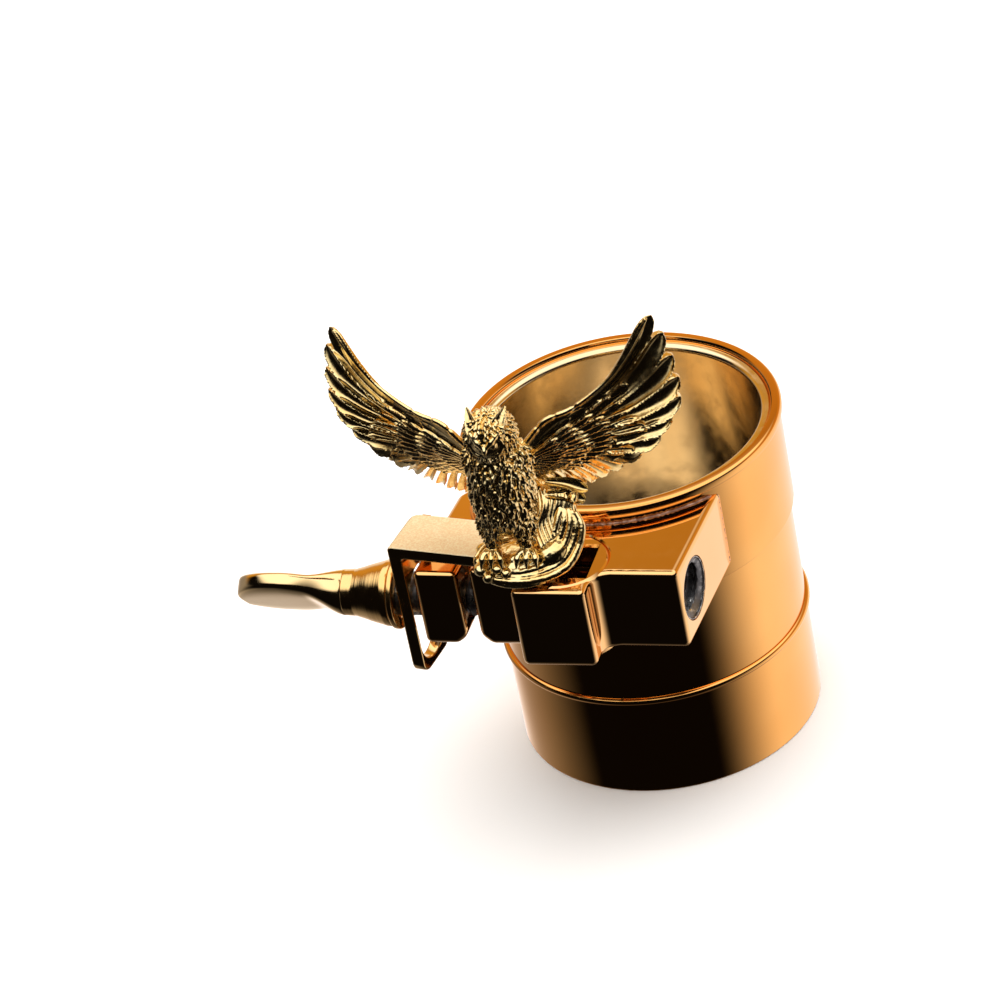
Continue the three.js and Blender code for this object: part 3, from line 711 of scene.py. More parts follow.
def threaded_ring(x0, x1, outer, bore, pitch, depth=THREAD_DEPTH):
    """A bush along X with a thread in its bore"""
    steps = max(8, round((x1 - x0) / pitch * THREAD_STEPS))
    rows = [(x0, outer - 0.1), (x0 + 0.1, outer), (x1 - 0.1, outer), (x1, outer - 0.1)]
    for k in range(steps + 1):
        x = x1 + (x0 - x1) * k / steps
        fade = min(1, (x1 - x) / 0.25, (x - x0) / 0.25)
        rows.append((x, bore + depth * (0.5 + 0.35 * (1 - fade)), depth * fade))
    return turned(rows, axis="X", pitch=pitch)


def add_inserts():
    neck = threaded_ring(SLIT_RIGHT_X + 0.05, INSERT_END_X, INSERT_R - 0.01, SCREW_R + 0.02, SCREW_PITCH)
    neck.transform(ON_SCREW)
    show("clamp_thread_insert", neck, THREAD, "receiver", "dark_steel", "neck_screw_insert")
    lyre = threaded_ring(
        LUG_RIGHT_X - LYRE_INSERT_LENGTH, LUG_RIGHT_X, LYRE_INSERT_R - 0.01, LYRE_THREAD_R - 0.08,
        LYRE_PITCH, LYRE_THREAD_DEPTH,
    )
    # The block's right face slants, so the insert is sheared to end flush with it
    slant = Matrix.Identity(4)
    slant[0][1] = (LUG_RIGHT_FLARE_X - LUG_RIGHT_X) / (LUG_FLARE_Y - LUG_FRONT_Y)
    flush = slant[0][1] * (LYRE_SCREW_Y - LUG_FRONT_Y) - 0.04
    lyre.transform(Matrix.Translation((flush, LYRE_SCREW_Y, LYRE_SCREW_Z)) @ slant)
    show("lyre_thread_insert", lyre, THREAD, "receiver", "dark_steel", "lyre_screw_insert")


def seam(name, points, radius, seed):
    """An uneven fillet of solder along a line of points"""
    generator = random.Random(seed)
    path = np.array(points, float)
    ring = 10
    rows = []
    for i, centre in enumerate(path):
        ahead = heading(path, i)
        side = unit(np.cross(ahead, (0.3, 0.2, 0.93)))
        lift = np.cross(side, ahead)
        taper = min(1, 0.3 + 0.35 * min(i, len(path) - 1 - i))
        r = radius * taper * generator.uniform(0.75, 1.15)
        for k in range(ring):
            angle = 2 * math.pi * k / ring
            grain = r * generator.uniform(0.8, 1.12)
            rows.append(centre + grain * (math.cos(angle) * side + math.sin(angle) * lift))
    faces = [*ring_faces(len(path), ring), ring_cap(0, ring), ring_cap(len(path) - 1, ring)]
    mesh = outward(mesh_of(name, rows, faces))
    show(name, mesh, SOLDER, "receiver", "lug_lacquer", sharp=80, weighted=False)


def on_collar(x, z, out=0.0):
    r = COLLAR_R + out
    return (x, -math.sqrt(r * r - x * x), z)


def add_seams():
    right, left = LUG_RIGHT_FLARE_X - 0.55, SLIT_RIGHT_X + 0.05
    xs = np.linspace(left, right, 190)
    seam("block_top_solder", [on_collar(x, LUG_TOP_Z - 0.03, 0.08) for x in xs], 0.2, 1)
    zs = np.linspace(LUG_FOOT_Z + 0.3, LUG_TOP_Z - 0.2, 60)
    seam("block_right_solder", [on_collar(LUG_RIGHT_FLARE_X - 0.16, z, 0.05) for z in zs], 0.1, 2)
    ys = np.linspace(-9.85, -7.2, 24)
    slope = (LEFT_LUG_TOP_FRONT_Z - LEFT_LUG_TOP_BACK_Z) / (LUG_BACK_Y - LUG_FRONT_Y)
    rows = []
    for y in ys:
        r = COLLAR_R + 0.06
        x = -math.sqrt(r * r - y * y)
        rows.append((x, y, LEFT_LUG_TOP_FRONT_Z - slope * (y - LUG_FRONT_Y)))
    seam("lug_top_solder", rows, 0.17, 3)


# ---------- thumbscrew ----------


def add_thumbscrew():
    x0, x1 = WASHER_X - WASHER_THICKNESS, WASHER_X
    washer = turned([
        (x0, SCREW_R + 0.2), (x0, WASHER_R - SMALL_EDGE_R),
        *arc((x0 + SMALL_EDGE_R, WASHER_R - SMALL_EDGE_R), SMALL_EDGE_R, -90, 0, 3),
        *arc((x1 - SMALL_EDGE_R, WASHER_R - SMALL_EDGE_R), SMALL_EDGE_R, 0, 90, 3),
        (x1, SCREW_R + 0.2), (x1 - 0.1, SCREW_R + 0.1), (x0 + 0.1, SCREW_R + 0.1),
    ], axis="X")
    washer.transform(ON_SCREW)
    show("screw_shoulder_washer", washer, TURNED, "washer", "lug_lacquer", "shoulder_washer")

    start, end = HEAD_X + 0.02, SCREW_TIP_X
    steps = round((end - start) / SCREW_PITCH * THREAD_STEPS)
    rows = []
    for k in range(steps + 1):
        x = start + (end - start) * k / steps
        fade = min(1, max(0, (x - start - 2.4) / 0.4), (end - x) / 0.5)
        point = 0.35 * max(0, 1 - (end - x) / 0.5)
        rows.append((x, SCREW_R - THREAD_DEPTH * 0.5 * fade - point, THREAD_DEPTH * fade))
    shank = turned(rows, axis="X", closed=False, pitch=SCREW_PITCH)
    shank.transform(ON_SCREW)
    show("clamp_screw_thread", shank, THREAD, "thumbscrew", "dark_steel", "thumbscrew_shank")

    generator = random.Random(5)
    profile = [
        (WAIST_X, WAIST_R), (WAIST_X + 0.9, WAIST_R + 0.05), (WAIST_X + 1.6, WAIST_R + 0.25),
        (WAIST_X + 2.4, WAIST_R + 0.5), (HEAD_X - 0.6, HEAD_R - 0.02), (HEAD_X - 0.2, HEAD_R),
    ]
    rows = [(WAIST_X, 0.02)]
    for x in np.arange(WAIST_X, HEAD_X - 0.2, 0.07):
        radius = np.interp(x, [p[0] for p in profile], [p[1] for p in profile])
        rows.append((float(x), float(radius) + generator.uniform(-0.002, 0.002)))
    rows += [*arc((HEAD_X - 0.2, HEAD_R - 0.2), 0.2, 0, 90, 4), (HEAD_X, 0.02)]
    barrel = turned(rows, axis="X", closed=False)
    barrel.transform(ON_SCREW)
    show("thumbscrew_turned_barrel", barrel, TURNED, "thumbscrew", "lug_lacquer", "thumbscrew_barrel",
         sharp=60, weighted=False)
    show("thumbscrew_oval_paddle", paddle(), EDGE, "thumbscrew", "lug_lacquer", "thumbscrew_paddle",
         sharp=120, weighted=False)


def paddle():
    """An oval blade that grows out of the round waist"""
    length = WAIST_X - PADDLE_TIP_X
    around = 96
    stations = [0.0]
    stations += list(np.linspace(0.03, 0.9, 44))
    stations += [1 - 0.1 * (1 - math.sin(math.pi / 2 * k / 16)) for k in range(1, 17)]
    rows = []
    for t in stations:
        d = t * length
        swell = min(1, t / PADDLE_MIDDLE)
        swell = swell * swell * (3 - 2 * swell)
        wide = WAIST_R + (PADDLE_HALF_WIDTH - WAIST_R) * swell
        if t > PADDLE_MIDDLE:
            wide *= math.sqrt(max(0, 1 - ((t - PADDLE_MIDDLE) / (1 - PADDLE_MIDDLE)) ** 2.3))
        blend = min(1, d / 3.2)
        blend = blend * blend * (3 - 2 * blend)
        thick = WAIST_R + (PADDLE_THICKNESS / 2 - WAIST_R) * blend
        rounding = 0.5
        if length - d < rounding:
            thick *= math.sqrt(max(0, 1 - (1 - (length - d) / rounding) ** 2))
        power = 2 + 2.2 * blend
        for k in range(around):
            angle = 2 * math.pi * k / around
            c, s = math.cos(angle), math.sin(angle)
            y = max(wide, 0.004) * math.copysign(abs(c) ** (2 / power), c)
            z = max(thick, 0.004) * math.copysign(abs(s) ** (2 / power), s)
            rows.append((WAIST_X - d, y, z))
    count = len(stations)
    faces = [*ring_faces(count, around), ring_cap(0, around), ring_cap(count - 1, around)]
    mesh = outward(mesh_of("paddle", rows, faces))
    mesh.transform(ON_SCREW @ Matrix.Rotation(PADDLE_TURN, 4, "X"))
    return mesh


# ---------- bracket ----------


def add_bracket():
    t, bend, top, foot = BRACKET_THICKNESS, BRACKET_BEND_R, BRACKET_TOP_Z, BRACKET_FOOT_Z
    profile = [(0, foot)]
    profile += rounded_corner((bend, top - bend), bend, 180, 90, 6)
    profile += [(BRACKET_LENGTH, top), (BRACKET_LENGTH, top - t)]
    profile += rounded_corner((t + 0.3, top - t - 0.3), 0.3, 90, 180, 4)
    profile += [(t, foot)]
    bar = prism(profile, BRACKET_FRONT, BRACKET_BACK, "Y")

    r = BRACKET_CORNER_R
    keep_leg = [
        (BRACKET_BACK, top + 1), (BRACKET_FRONT, top + 1),
        *rounded_corner((BRACKET_FRONT + r, foot + r), r, 180, 270),
        *rounded_corner((BRACKET_BACK - r, foot + r), r, 270, 360),
    ]
    bar = cut(bar, prism(keep_leg, -1, BRACKET_LENGTH + 1, "X"), operation="INTERSECT")
    plan = [(BRACKET_LENGTH + 1, BRACKET_FRONT - 1), (BRACKET_LENGTH + 1, BRACKET_BACK)]
    plan += rounded_corner((r, BRACKET_BACK - r), r, 90, 180)
    plan += [(0, BRACKET_FRONT - 1)]
    bar = cut(bar, prism(plan, foot - 1, top + 1), operation="INTERSECT")
    slot = [
        *rounded_corner((SLOT_Y, SLOT_FOOT_Z + SLOT_WIDTH / 2), SLOT_WIDTH / 2, 180, 360, 24),
        *rounded_corner((SLOT_Y, SLOT_TOP_Z - SLOT_WIDTH / 2), SLOT_WIDTH / 2, 0, 180, 24),
    ]
    bar = bevelled(cut(bar, prism(slot, -1, 3, "X")), 0.17, 3)
    plate_foot = top - t
    peg_hole = turned([
        (plate_foot - 0.01, PEG_HEAD_R + 0.06),
        (plate_foot + PEG_HEAD_H, PEG_R + 0.04), (top + 1, PEG_R + 0.04),
    ], closed=False)
    peg_hole.transform(Matrix.Translation((PEG_X, SLOT_Y, 0)))
    bar = cut(bar, peg_hole)
    piece = show("ornament_slotted_bracket", bar, EDGE, "ornament", "sanded_gold", "ornament_bracket",
                 place=IN_BRACKET, extra=(SANDED,))
    for polygon in piece.data.polygons:
        if polygon.normal.z > 0.6 and polygon.center.z > (top - 0.6) * MM:
            polygon.material_index = 1

    peg = turned([
        (plate_foot + 0.02, PEG_HEAD_R - 0.04), (plate_foot + 0.1, PEG_HEAD_R),
        (plate_foot + PEG_HEAD_H, PEG_R), (PEG_TOP_Z - 0.2, PEG_R), (PEG_TOP_Z, PEG_R - 0.2),
    ], closed=False)
    peg.transform(Matrix.Translation((PEG_X, SLOT_Y, 0)))
    driver = block(PEG_X - 2, PEG_X + 2, SLOT_Y - 0.16, SLOT_Y + 0.16, plate_foot - 1, plate_foot + 0.4)
    show("ornament_slotted_screw", cut(peg, driver), THREAD, "ornament", "dark_steel", "ornament_screw",
         place=IN_BRACKET)


# ---------- owl ----------


class Clay:
    """Closed shells that are gathered, then fused into one casting"""

    def __init__(self):
        self.verts = []
        self.faces = []
        self.count = 0

    def add(self, verts, faces):
        self.verts.append(np.asarray(verts, float))
        self.faces += [tuple(i + self.count for i in f) for f in faces]
        self.count += len(verts)

    def ball(self, centre, radii, turn=None, across=24, up=14):
        rows = [(0, 0, -1)]
        for i in range(1, up):
            lat = -math.pi / 2 + math.pi * i / up
            for k in range(across):
                lon = 2 * math.pi * k / across
                rows.append((math.cos(lat) * math.cos(lon), math.cos(lat) * math.sin(lon), math.sin(lat)))
        rows.append((0, 0, 1))
        faces = []
        for k in range(across):
            m = (k + 1) % across
            faces.append((0, 1 + m, 1 + k))
            faces.append((len(rows) - 1, len(rows) - 1 - across + k, len(rows) - 1 - across + m))
            for i in range(up - 2):
                a, b = 1 + i * across, 1 + (i + 1) * across
                faces.append((a + k, a + m, b + m, b + k))
        points = np.array(rows) * np.array(radii)
        if turn is not None:
            points = points @ np.array(turn.to_3x3()).T
        self.add(points + np.array(centre), faces)

    def limb(self, path, radii, flat=1.0, ring=12, facing=(0.11, -0.97, 0.2)):
        """A tapered strand along a path, flattened towards the side it faces when flat is below 1"""
        path = smooth_path(path)
        radii = np.interp(np.linspace(0, 1, len(path)), np.linspace(0, 1, len(radii)), radii)
        rows = []
        for i, centre in enumerate(path):
            ahead = heading(path, i)
            side = unit(np.cross(ahead, facing))
            lift = np.cross(side, ahead)
            for k in range(ring):
                angle = 2 * math.pi * k / ring
                rows.append(centre + radii[i] * (math.cos(angle) * side + flat * math.sin(angle) * lift))
        caps = [ring_cap(0, ring)[::-1], ring_cap(len(path) - 1, ring)]
        self.add(rows, caps + ring_faces(len(path), ring))

    def blade(self, spine, across, normal, half, front, back, columns=9):
        """A leaf along a spine; front and back give the height of each face from u and v"""
        rows = len(spine)
        vs = np.linspace(-1, 1, columns)
        verts = []
        for face in (front, back):
            for i in range(rows):
                u = i / (rows - 1)
                for v in vs:
                    verts.append(spine[i] + across[i] * v * half[i] + normal[i] * face(u, v))
        size = rows * columns
        faces = []
        for i in range(rows - 1):
            for k in range(columns - 1):
                a = i * columns + k
                quad = (a, a + 1, a + columns + 1, a + columns)
                faces.append(quad)
                faces.append(tuple(j + size for j in quad[::-1]))
        edge = list(range(columns))
        edge += [i * columns + columns - 1 for i in range(1, rows)]
        edge += [(rows - 1) * columns + k for k in range(columns - 2, -1, -1)]
        edge += [i * columns for i in range(rows - 2, 0, -1)]
        for a, b in zip(edge, edge[1:] + edge[:1]):
            faces.append((b, a, a + size, b + size))
        self.add(verts, faces)

    def cast(self, name, voxel=CASTING_VOXEL, smooth=2, rough=0.0, seed=0.0):
        mesh = mesh_of(name, np.concatenate(self.verts), self.faces)
        mesh = modified(
            mesh,
            ("REMESH", {"mode": "VOXEL", "voxel_size": voxel, "use_smooth_shade": True}),
            ("SMOOTH", {"factor": 0.5, "iterations": smooth}),
        )
        if rough:
            roughen(mesh, rough, seed)
        return mesh


def show_cast(name, mesh, node):
    show(name, mesh, CAST, "ornament", "gold_plate", node, place=IN_OWL, sharp=75, weighted=False)


def roughen(mesh, amount, seed):
    """Pushes the surface in and out a little, as on a casting"""
    count = len(mesh.vertices)
    place, normal = np.empty(count * 3, np.float32), np.empty(count * 3, np.float32)
    mesh.vertices.foreach_get("co", place)
    mesh.vertices.foreach_get("normal", normal)
    shift = Vector((seed, 0, 0))
    push = []
    for p in place.reshape(-1, 3):
        at = Vector(p.tolist())
        push.append(noise.noise(at * 2.1 + shift) + 0.6 * noise.noise(at * 4.7))
    moved = place.reshape(-1, 3) + normal.reshape(-1, 3) * np.array(push)[:, None] * amount
    mesh.vertices.foreach_set("co", moved.astype(np.float32).ravel())
    mesh.update()


def unit(v):
    return v / max(np.linalg.norm(v), 1e-9)


def heading(path, i):
    """Unit direction of a path at its point i"""
    return unit(path[min(i + 1, len(path) - 1)] - path[max(i - 1, 0)])


def smooth_path(points, per_span=8):
    """Points on a Catmull-Rom curve through the given ones"""
    p = [np.array(q, float) for q in points]
    if len(p) == 2:
        return np.array([p[0] + (p[1] - p[0]) * k / per_span for k in range(per_span + 1)])
    ends = [2 * p[0] - p[1], *p, 2 * p[-1] - p[-2]]
    out = []
    for i in range(1, len(ends) - 2):
        a, b, c, d = ends[i - 1:i + 3]
        for k in range(per_span):
            t = k / per_span
            linear = (c - a) * t
            square = (2 * a - 5 * b + 4 * c - d) * t * t
            cube = (3 * b - a - 3 * c + d) * t ** 3
            out.append(0.5 * (2 * b + linear + square + cube))
    out.append(p[-1])
    return np.array(out)


def wing_y(s, z):
    """The wing's surface, which sweeps back with s and curls forwards at the top"""
    above = z - WING_MIDDLE_Z
    return WING_ROOT_Y + WING_SWEEP * s - WING_LEAN * above + WING_CURL * above ** 2


def wing_point(s, z):
    return np.array((s, wing_y(s, z), z))


def wing_normal(z):
    """Unit normal of the wing's surface, towards the side that the owl looks"""
    return unit(np.array((WING_SWEEP, -1.0, -WING_LEAN + 2 * WING_CURL * (z - WING_MIDDLE_Z))))


def on_wing(side, points, lift=0.0):
    """Spine points, across vectors and normals in the owl's frame for a path drawn in (s, z)"""
    path = smooth_path([(s, 0, z) for s, z in points])
    spine, normals = [], []
    for s, _, z in path:
        n = wing_normal(z)
        spine.append(wing_point(s, z) + n * lift)
        normals.append(n)
    across = [unit(np.cross(heading(spine, i), normals[i])) for i in range(len(spine))]
    flip = np.array((side, 1, 1))
    return [p * flip for p in spine], [a * flip for a in across], [n * flip for n in normals]


def leaf_half(rows, half, root, tip_share):
    """Half widths along a feather with a narrow root and a round tip"""
    out = []
    for i in range(rows):
        u = i / (rows - 1)
        width = half * (root + (1 - root) * min(1, u / 0.7) ** 0.8)
        if u > 1 - tip_share:
            width *= math.sqrt(max(0, 1 - ((u - 1 + tip_share) / tip_share) ** 2))
        out.append(max(width, 0.01))
    return out


# Flight feathers: root and tip in (s, z), half width
FEATHERS = [
    ((8.0, 43.6), (13.75, 50.5), 0.86),
    ((8.2, 43.0), (14.5, 48.75), 0.98),
    ((8.2, 42.3), (15.0, 46.5), 1.0),
    ((8.1, 41.6), (15.2, 44.3), 0.98),
    ((8.0, 40.9), (15.0, 42.25), 0.92),
    ((7.8, 40.2), (14.0, 40.5), 0.88),
    ((7.4, 39.6), (12.8, 38.6), 0.84),
    ((6.9, 39.2), (11.0, 37.15), 0.7),
    ((6.4, 38.9), (9.3, 36.1), 0.56),
    ((5.8, 38.7), (7.9, 35.4), 0.46),
    ((5.1, 38.4), (6.8, 34.9), 0.43),
    ((4.4, 38.1), (5.75, 34.6), 0.41),
    ((3.7, 37.8), (4.75, 34.5), 0.39),
    ((3.0, 37.5), (3.8, 34.6), 0.37),
]
# Edges of the arm, in (s, z)
LEADING_EDGE = [
    (1.6, 40.5), (2.6, 41.6), (4.4, 43.35), (6.6, 43.95), (9.3, 45.55), (11.3, 47.5), (13.3, 50.35),
]
LOWER_EDGE = [
    (1.6, 37.2), (3.2, 37.4), (5.2, 38.3), (7.2, 39.6), (9.2, 42.3), (11.4, 45.9), (13.1, 49.9),
]
# Rows of coverts: reach, count, length, half width, lift
COVERT_ROWS = [
    (7.4, 15, 4.0, 0.33, 0.1),
    (5.4, 16, 3.7, 0.27, 0.16),
    (3.8, 15, 3.2, 0.22, 0.22),
    (2.7, 12, 2.4, 0.18, 0.27),
]


def spoon_feather(clay, side, root, tip, half, lift, depth=1.0):
    """A flight feather; depth scales how far its rims stand up"""
    mid = ((root[0] + tip[0]) / 2 + 0.25, (root[1] + tip[1]) / 2 - 0.3)
    spine, across, normal = on_wing(side, [root, mid, tip], lift)
    rows = 34
    picks = np.linspace(0, len(spine) - 1, rows)

    def spread(values):
        table = np.array(values)
        steps = range(len(table))
        return [np.array([np.interp(p, steps, table[:, c]) for c in range(3)]) for p in picks]

    spine, across, normal = spread(spine), spread(across), spread(normal)
    length = np.linalg.norm(spine[-1] - spine[0])
    widths = leaf_half(rows, 0.88 * half, 0.5, min(0.5, 2.1 * half / length))
    size = min(1, 0.35 + 0.65 * half / 0.9) * depth

    def curl(u):
        return -0.46 * size * max(0, (u - 0.72) / 0.28) ** 2

    def front(u, v):
        rise = min(1, u / 0.25)
        rim = size * (0.5 * abs(v) ** 3 + 0.14 * v * side)
        scoop = -0.2 * size * (1 - v * v) * rise
        return 0.16 * size + rise * rim * (1 - 0.55 * max(0, u - 0.7) / 0.3) + scoop + curl(u)

    def back(u, v):
        quill = 0.14 * math.exp(-(v / 0.16) ** 2)
        vane = 0.03 * math.sin(14 * abs(v) + 26 * u)
        ridge = -0.12 * size * abs(v) ** 3
        base = -0.34 * size + 0.12 * size * v * side + ridge
        return base - quill * min(1, (1 - u) * 4) + vane * (1 - abs(v)) + curl(u)

    clay.blade(spine, across, normal, widths, front, back, columns=15)


def small_feather(clay, side, root, tip, half, lift, face=1, relief=1.0):
    """A covert: a leaf with a raised rim, on the front of the wing or, with face -1, on its back"""
    spine, across, normal = on_wing(side, [root, tip], lift)
    widths = leaf_half(len(spine), half, 0.45, 0.5)

    def outer(u, v):
        return face * relief * (0.1 + 0.2 * abs(v) ** 2.4 + 0.05 * u)

    def inner(u, v):
        return -face * relief * 0.35

    front, back = (outer, inner) if face > 0 else (inner, outer)
    clay.blade(spine, across, normal, widths, front, back, columns=9)


def add_wing(name, node, side):
    clay = Clay()
    top = smooth_path([(s, 0, z) for s, z in LEADING_EDGE], 10)
    foot = smooth_path([(s, 0, z) for s, z in LOWER_EDGE], 10)
    flip = np.array((side, 1, 1))

    # The arm, a web between the leading edge and the roots of the feathers
    spine, across, normal, half = [], [], [], []
    for a, b in zip(top, foot):
        m = (a + b) / 2
        spine.append(wing_point(m[0], m[2]) * flip)
        chord = wing_point(b[0], b[2]) - wing_point(a[0], a[2])
        across.append(unit(chord) * flip)
        normal.append(wing_normal(m[2]) * flip)
        half.append(np.linalg.norm(chord) / 2)

    def web_front(u, v):
        return (0.24 - 0.2 * u) * (0.25 + 0.75 * math.sqrt(1 - v * v))

    def web_back(u, v):
        return (-0.42 + 0.3 * u) * (0.25 + 0.75 * math.sqrt(1 - v * v))

    clay.blade(spine, across, normal, half, web_front, web_back, columns=15)

    # Flight feathers, the outermost at the back
    for i, (root, tip, width) in enumerate(FEATHERS):
        spoon_feather(clay, side, root, tip, width, 0.03 * (i % 2), 1.0 if i else 0.36)

    # Leading edge, a polished bead with notches
    edge = [np.array((s, wing_y(s, z) - 0.12, z)) * flip for s, _, z in top]
    beads = [0.3 - 0.17 * i / len(edge) for i in range(len(edge))]
    for notch in (9, 17, 24, 31):
        beads[notch] *= 0.55
    clay.limb(edge, beads)

    generator = random.Random(11)
    # Long coverts below the leading edge
    share = np.linspace(0, 1, len(top))
    for k in range(6):
        t = 0.05 + 0.115 * k
        s0 = np.interp(t, share, top[:, 0])
        z0 = np.interp(t, share, top[:, 2])
        root = (s0 + 0.25, z0 - 0.9)
        tip = (s0 + 2.5, z0 + 0.55 - 0.12 * k)
        small_feather(clay, side, root, tip, 0.42, 0.02, relief=0.7)
        small_feather(clay, side, root, tip, 0.42, -0.1, -1, relief=0.7)
    # Rows of coverts that fan out from the shoulder over the feather roots
    for row, (reach, count, length, width, lift) in enumerate(COVERT_ROWS):
        for k in range(count):
            angle = math.radians(38 - (38 + 68) * (k + 0.5 * (row % 2)) / (count - 1))
            c, s = math.cos(angle), math.sin(angle)
            jitter = generator.uniform(-0.2, 0.2)
            squeeze = 1 - 0.42 * max(0, -s)
            out = (reach + jitter - 1.2) * squeeze
            root = (FAN_S + out * c, FAN_Z + out * s * FAN_SQUASH)
            reach_down = 1 - 0.62 * max(0, -s)
            tip = (root[0] + length * c * squeeze, root[1] + length * s * 0.8 * reach_down)
            if root[0] < 2 or (row == 0 and s < -0.4) or (row == 1 and s < -0.75):
                continue
            small_feather(clay, side, root, tip, width, lift)
            small_feather(clay, side, root, tip, width, -lift - 0.12, -1)
    # Fine strands from the shoulder
    for k in range(80):
        angle = math.radians(generator.uniform(-62, 36))
        start = generator.uniform(0.4, 2.2)
        reach = start + generator.uniform(1.6, 3.8)
        c, s = math.cos(angle), 0.62 * math.sin(angle)
        a = (1.5 + start * c, 39.9 + start * s)
        b = (1.5 + reach * c, 39.9 + reach * s)
        face = 1 if k % 2 else -1
        spine, _, _ = on_wing(side, [a, b], face * 0.42)
        clay.limb(spine, [0.05, 0.11, 0.09, 0.04], ring=8)

    show_cast(name, clay.cast(name), node)


def surface_point(centre, radii, direction, tilt=None):
    """Point and unit normal where a direction meets an ellipsoid"""
    d = np.array(direction, float)
    p = d * np.array(radii)
    n = unit(d / np.array(radii))
    if tilt is not None:
        turn = np.array(tilt.to_3x3())
        p, n = turn @ p, turn @ n
    return p + np.array(centre), n


def flecks(clay, centre, radii, count, size, seed, keep, tilt=None, lie=(0, 0.1, -1)):
    """Little overlapping feathers that lie down the surface of an ellipsoid"""
    generator = random.Random(seed)
    golden = math.pi * (3 - math.sqrt(5))
    for k in range(count):
        h = 1 - 2 * (k + 0.5) / count
        r = math.sqrt(1 - h * h)
        angle = golden * k + generator.uniform(-0.12, 0.12)
        direction = (r * math.cos(angle), r * math.sin(angle), h)
        p, n = surface_point(centre, radii, direction, tilt)
        if not keep(p):
            continue
        down = np.array(lie, float) + np.array([generator.uniform(-0.35, 0.35) for _ in range(3)])
        along = unit(down - n * down.dot(n))
        across = unit(np.cross(along, n))
        length = size * generator.uniform(0.8, 1.3)
        half = size * generator.uniform(0.26, 0.4)
        rise = generator.uniform(0.7, 1.3)
        rows = 6
        us = [i / (rows - 1) for i in range(rows)]
        spine = [p + along * length * (u - 0.35) + n * 0.2 * rise * u for u in us]
        widths = leaf_half(rows, half, 0.55, 0.6)
        clay.blade(
            spine, [across] * rows, [n] * rows, widths,
            lambda u, v: 0.12 * (1 - v * v), lambda u, v: -0.3, columns=5,
        )


def add_torso():
    tilt = Matrix.Rotation(math.radians(-6), 4, "X")
    clay = Clay()
    clay.ball(TORSO_CENTRE, TORSO_RADII, tilt, 40, 28)
    clay.ball((0, 0.1, 40.6), (1.9, 1.9, 2.0))
    for side in (-1, 1):
        clay.ball((side * SHOULDER[0], *SHOULDER[1:]), (1.15, 1.2, 1.6))
        clay.ball((side * THIGH[0], *THIGH[1:]), (1.1, 1.2, 1.5))

    def covered(p):
        gap = abs(p[0] - 0.05) < 0.8 and p[1] < 0 and p[2] < 34.9
        return not gap and p[2] > 33.2

    flecks(clay, TORSO_CENTRE, (2.65, 2.45, 4.72), 760, 0.62, 21, covered, tilt)
    for side in (-1, 1):
        shoulder, thigh = (side * SHOULDER[0], *SHOULDER[1:]), (side * THIGH[0], *THIGH[1:])
        flecks(clay, shoulder, (1.2, 1.25, 1.65), 90, 0.5, 22 + side, lambda p: True)
        flecks(clay, thigh, (1.15, 1.25, 1.55), 90, 0.5, 25 + side, lambda p: p[2] > 33.2)
    mesh = clay.cast("owl_feathered_torso", voxel=0.07, smooth=1, rough=0.03, seed=3)
    show_cast("owl_feathered_torso", mesh, "owl_torso")


def ear_front(u, v):
    return 0.06 + 0.3 * abs(v) ** 2.2 * (1 - 0.6 * u)


def ear_back(u, v):
    return -0.3 + 0.15 * u


def add_head():
    clay = Clay()
    clay.ball(HEAD_CENTRE, HEAD_RADII, None, 40, 28)
    x, y, z = HEAD_CENTRE
    face_y = y - HEAD_RADII[1]
    for side in (-1, 1):
        tip = (side * EAR_SPREAD, 0.0, EAR_TIP_Z - 0.3)
        # A cupped ear with a tuft on each side of it
        spine = list(smooth_path([(side * 0.85, -1.5, 44.0), (side * 1.25, -0.85, 44.8), tip]))
        lean = unit(np.array((side * 0.25, -0.7, 0.66)))
        across = [unit(np.cross(unit(spine[-1] - spine[0]), lean))] * len(spine)
        half = [0.62 * (1 - (i / len(spine)) ** 1.4) + 0.05 for i in range(len(spine))]
        clay.blade(spine, across, [lean] * len(spine), half, ear_front, ear_back, columns=13)
        for k in range(5):
            foot = (side * (0.45 + 0.3 * k), -1.45 + 0.1 * k, 43.9 + 0.1 * k)
            peak = (side * (0.85 + 0.22 * k), -0.75 + 0.06 * k, 44.75 + 0.12 * (k % 3))
            clay.limb([foot, peak], [0.17, 0.05], ring=8)
        # Brow from the beak to the ear, eye, and the rim of the facial disc
        brow = [
            (side * 0.1, face_y - 0.18, z + 0.1), (side * 0.6, face_y + 0.02, z + 0.62),
            (side * 1.25, face_y + 0.6, z + 1.2),
        ]
        clay.limb(brow, [0.16, 0.24, 0.14])
        clay.ball((side * 0.62, face_y + 0.22, z + 0.18), (0.36, 0.3, 0.34), None, 16, 10)
        rim = []
        for k in range(9):
            angle = math.radians(70 - 175 * k / 8)
            c, s = math.cos(angle), math.sin(angle)
            rim.append((side * (0.62 + 0.72 * c), face_y + 0.24 + 0.34 * c ** 2, z + 0.08 + 0.88 * s))
        clay.limb(rim, [0.12, 0.17, 0.17, 0.1])
    beak = [(0, face_y + 0.1, z + 0.25), (0, face_y - 0.32, z - 0.1), (0, face_y - 0.12, z - 0.62)]
    clay.limb(beak, [0.2, 0.24, 0.04])

    def covered(p):
        in_face = abs(p[0]) < 1.45 and p[1] < y - 1.1 and -1.1 < p[2] - z < 0.9
        return not in_face and p[2] > 40.8

    flecks(clay, HEAD_CENTRE, (2.1, 2.1, 2.25), 420, 0.46, 31, covered)
    mesh = clay.cast("owl_tufted_head", voxel=0.06, smooth=1, rough=0.02, seed=7)
    show_cast("owl_tufted_head", mesh, "owl_head")


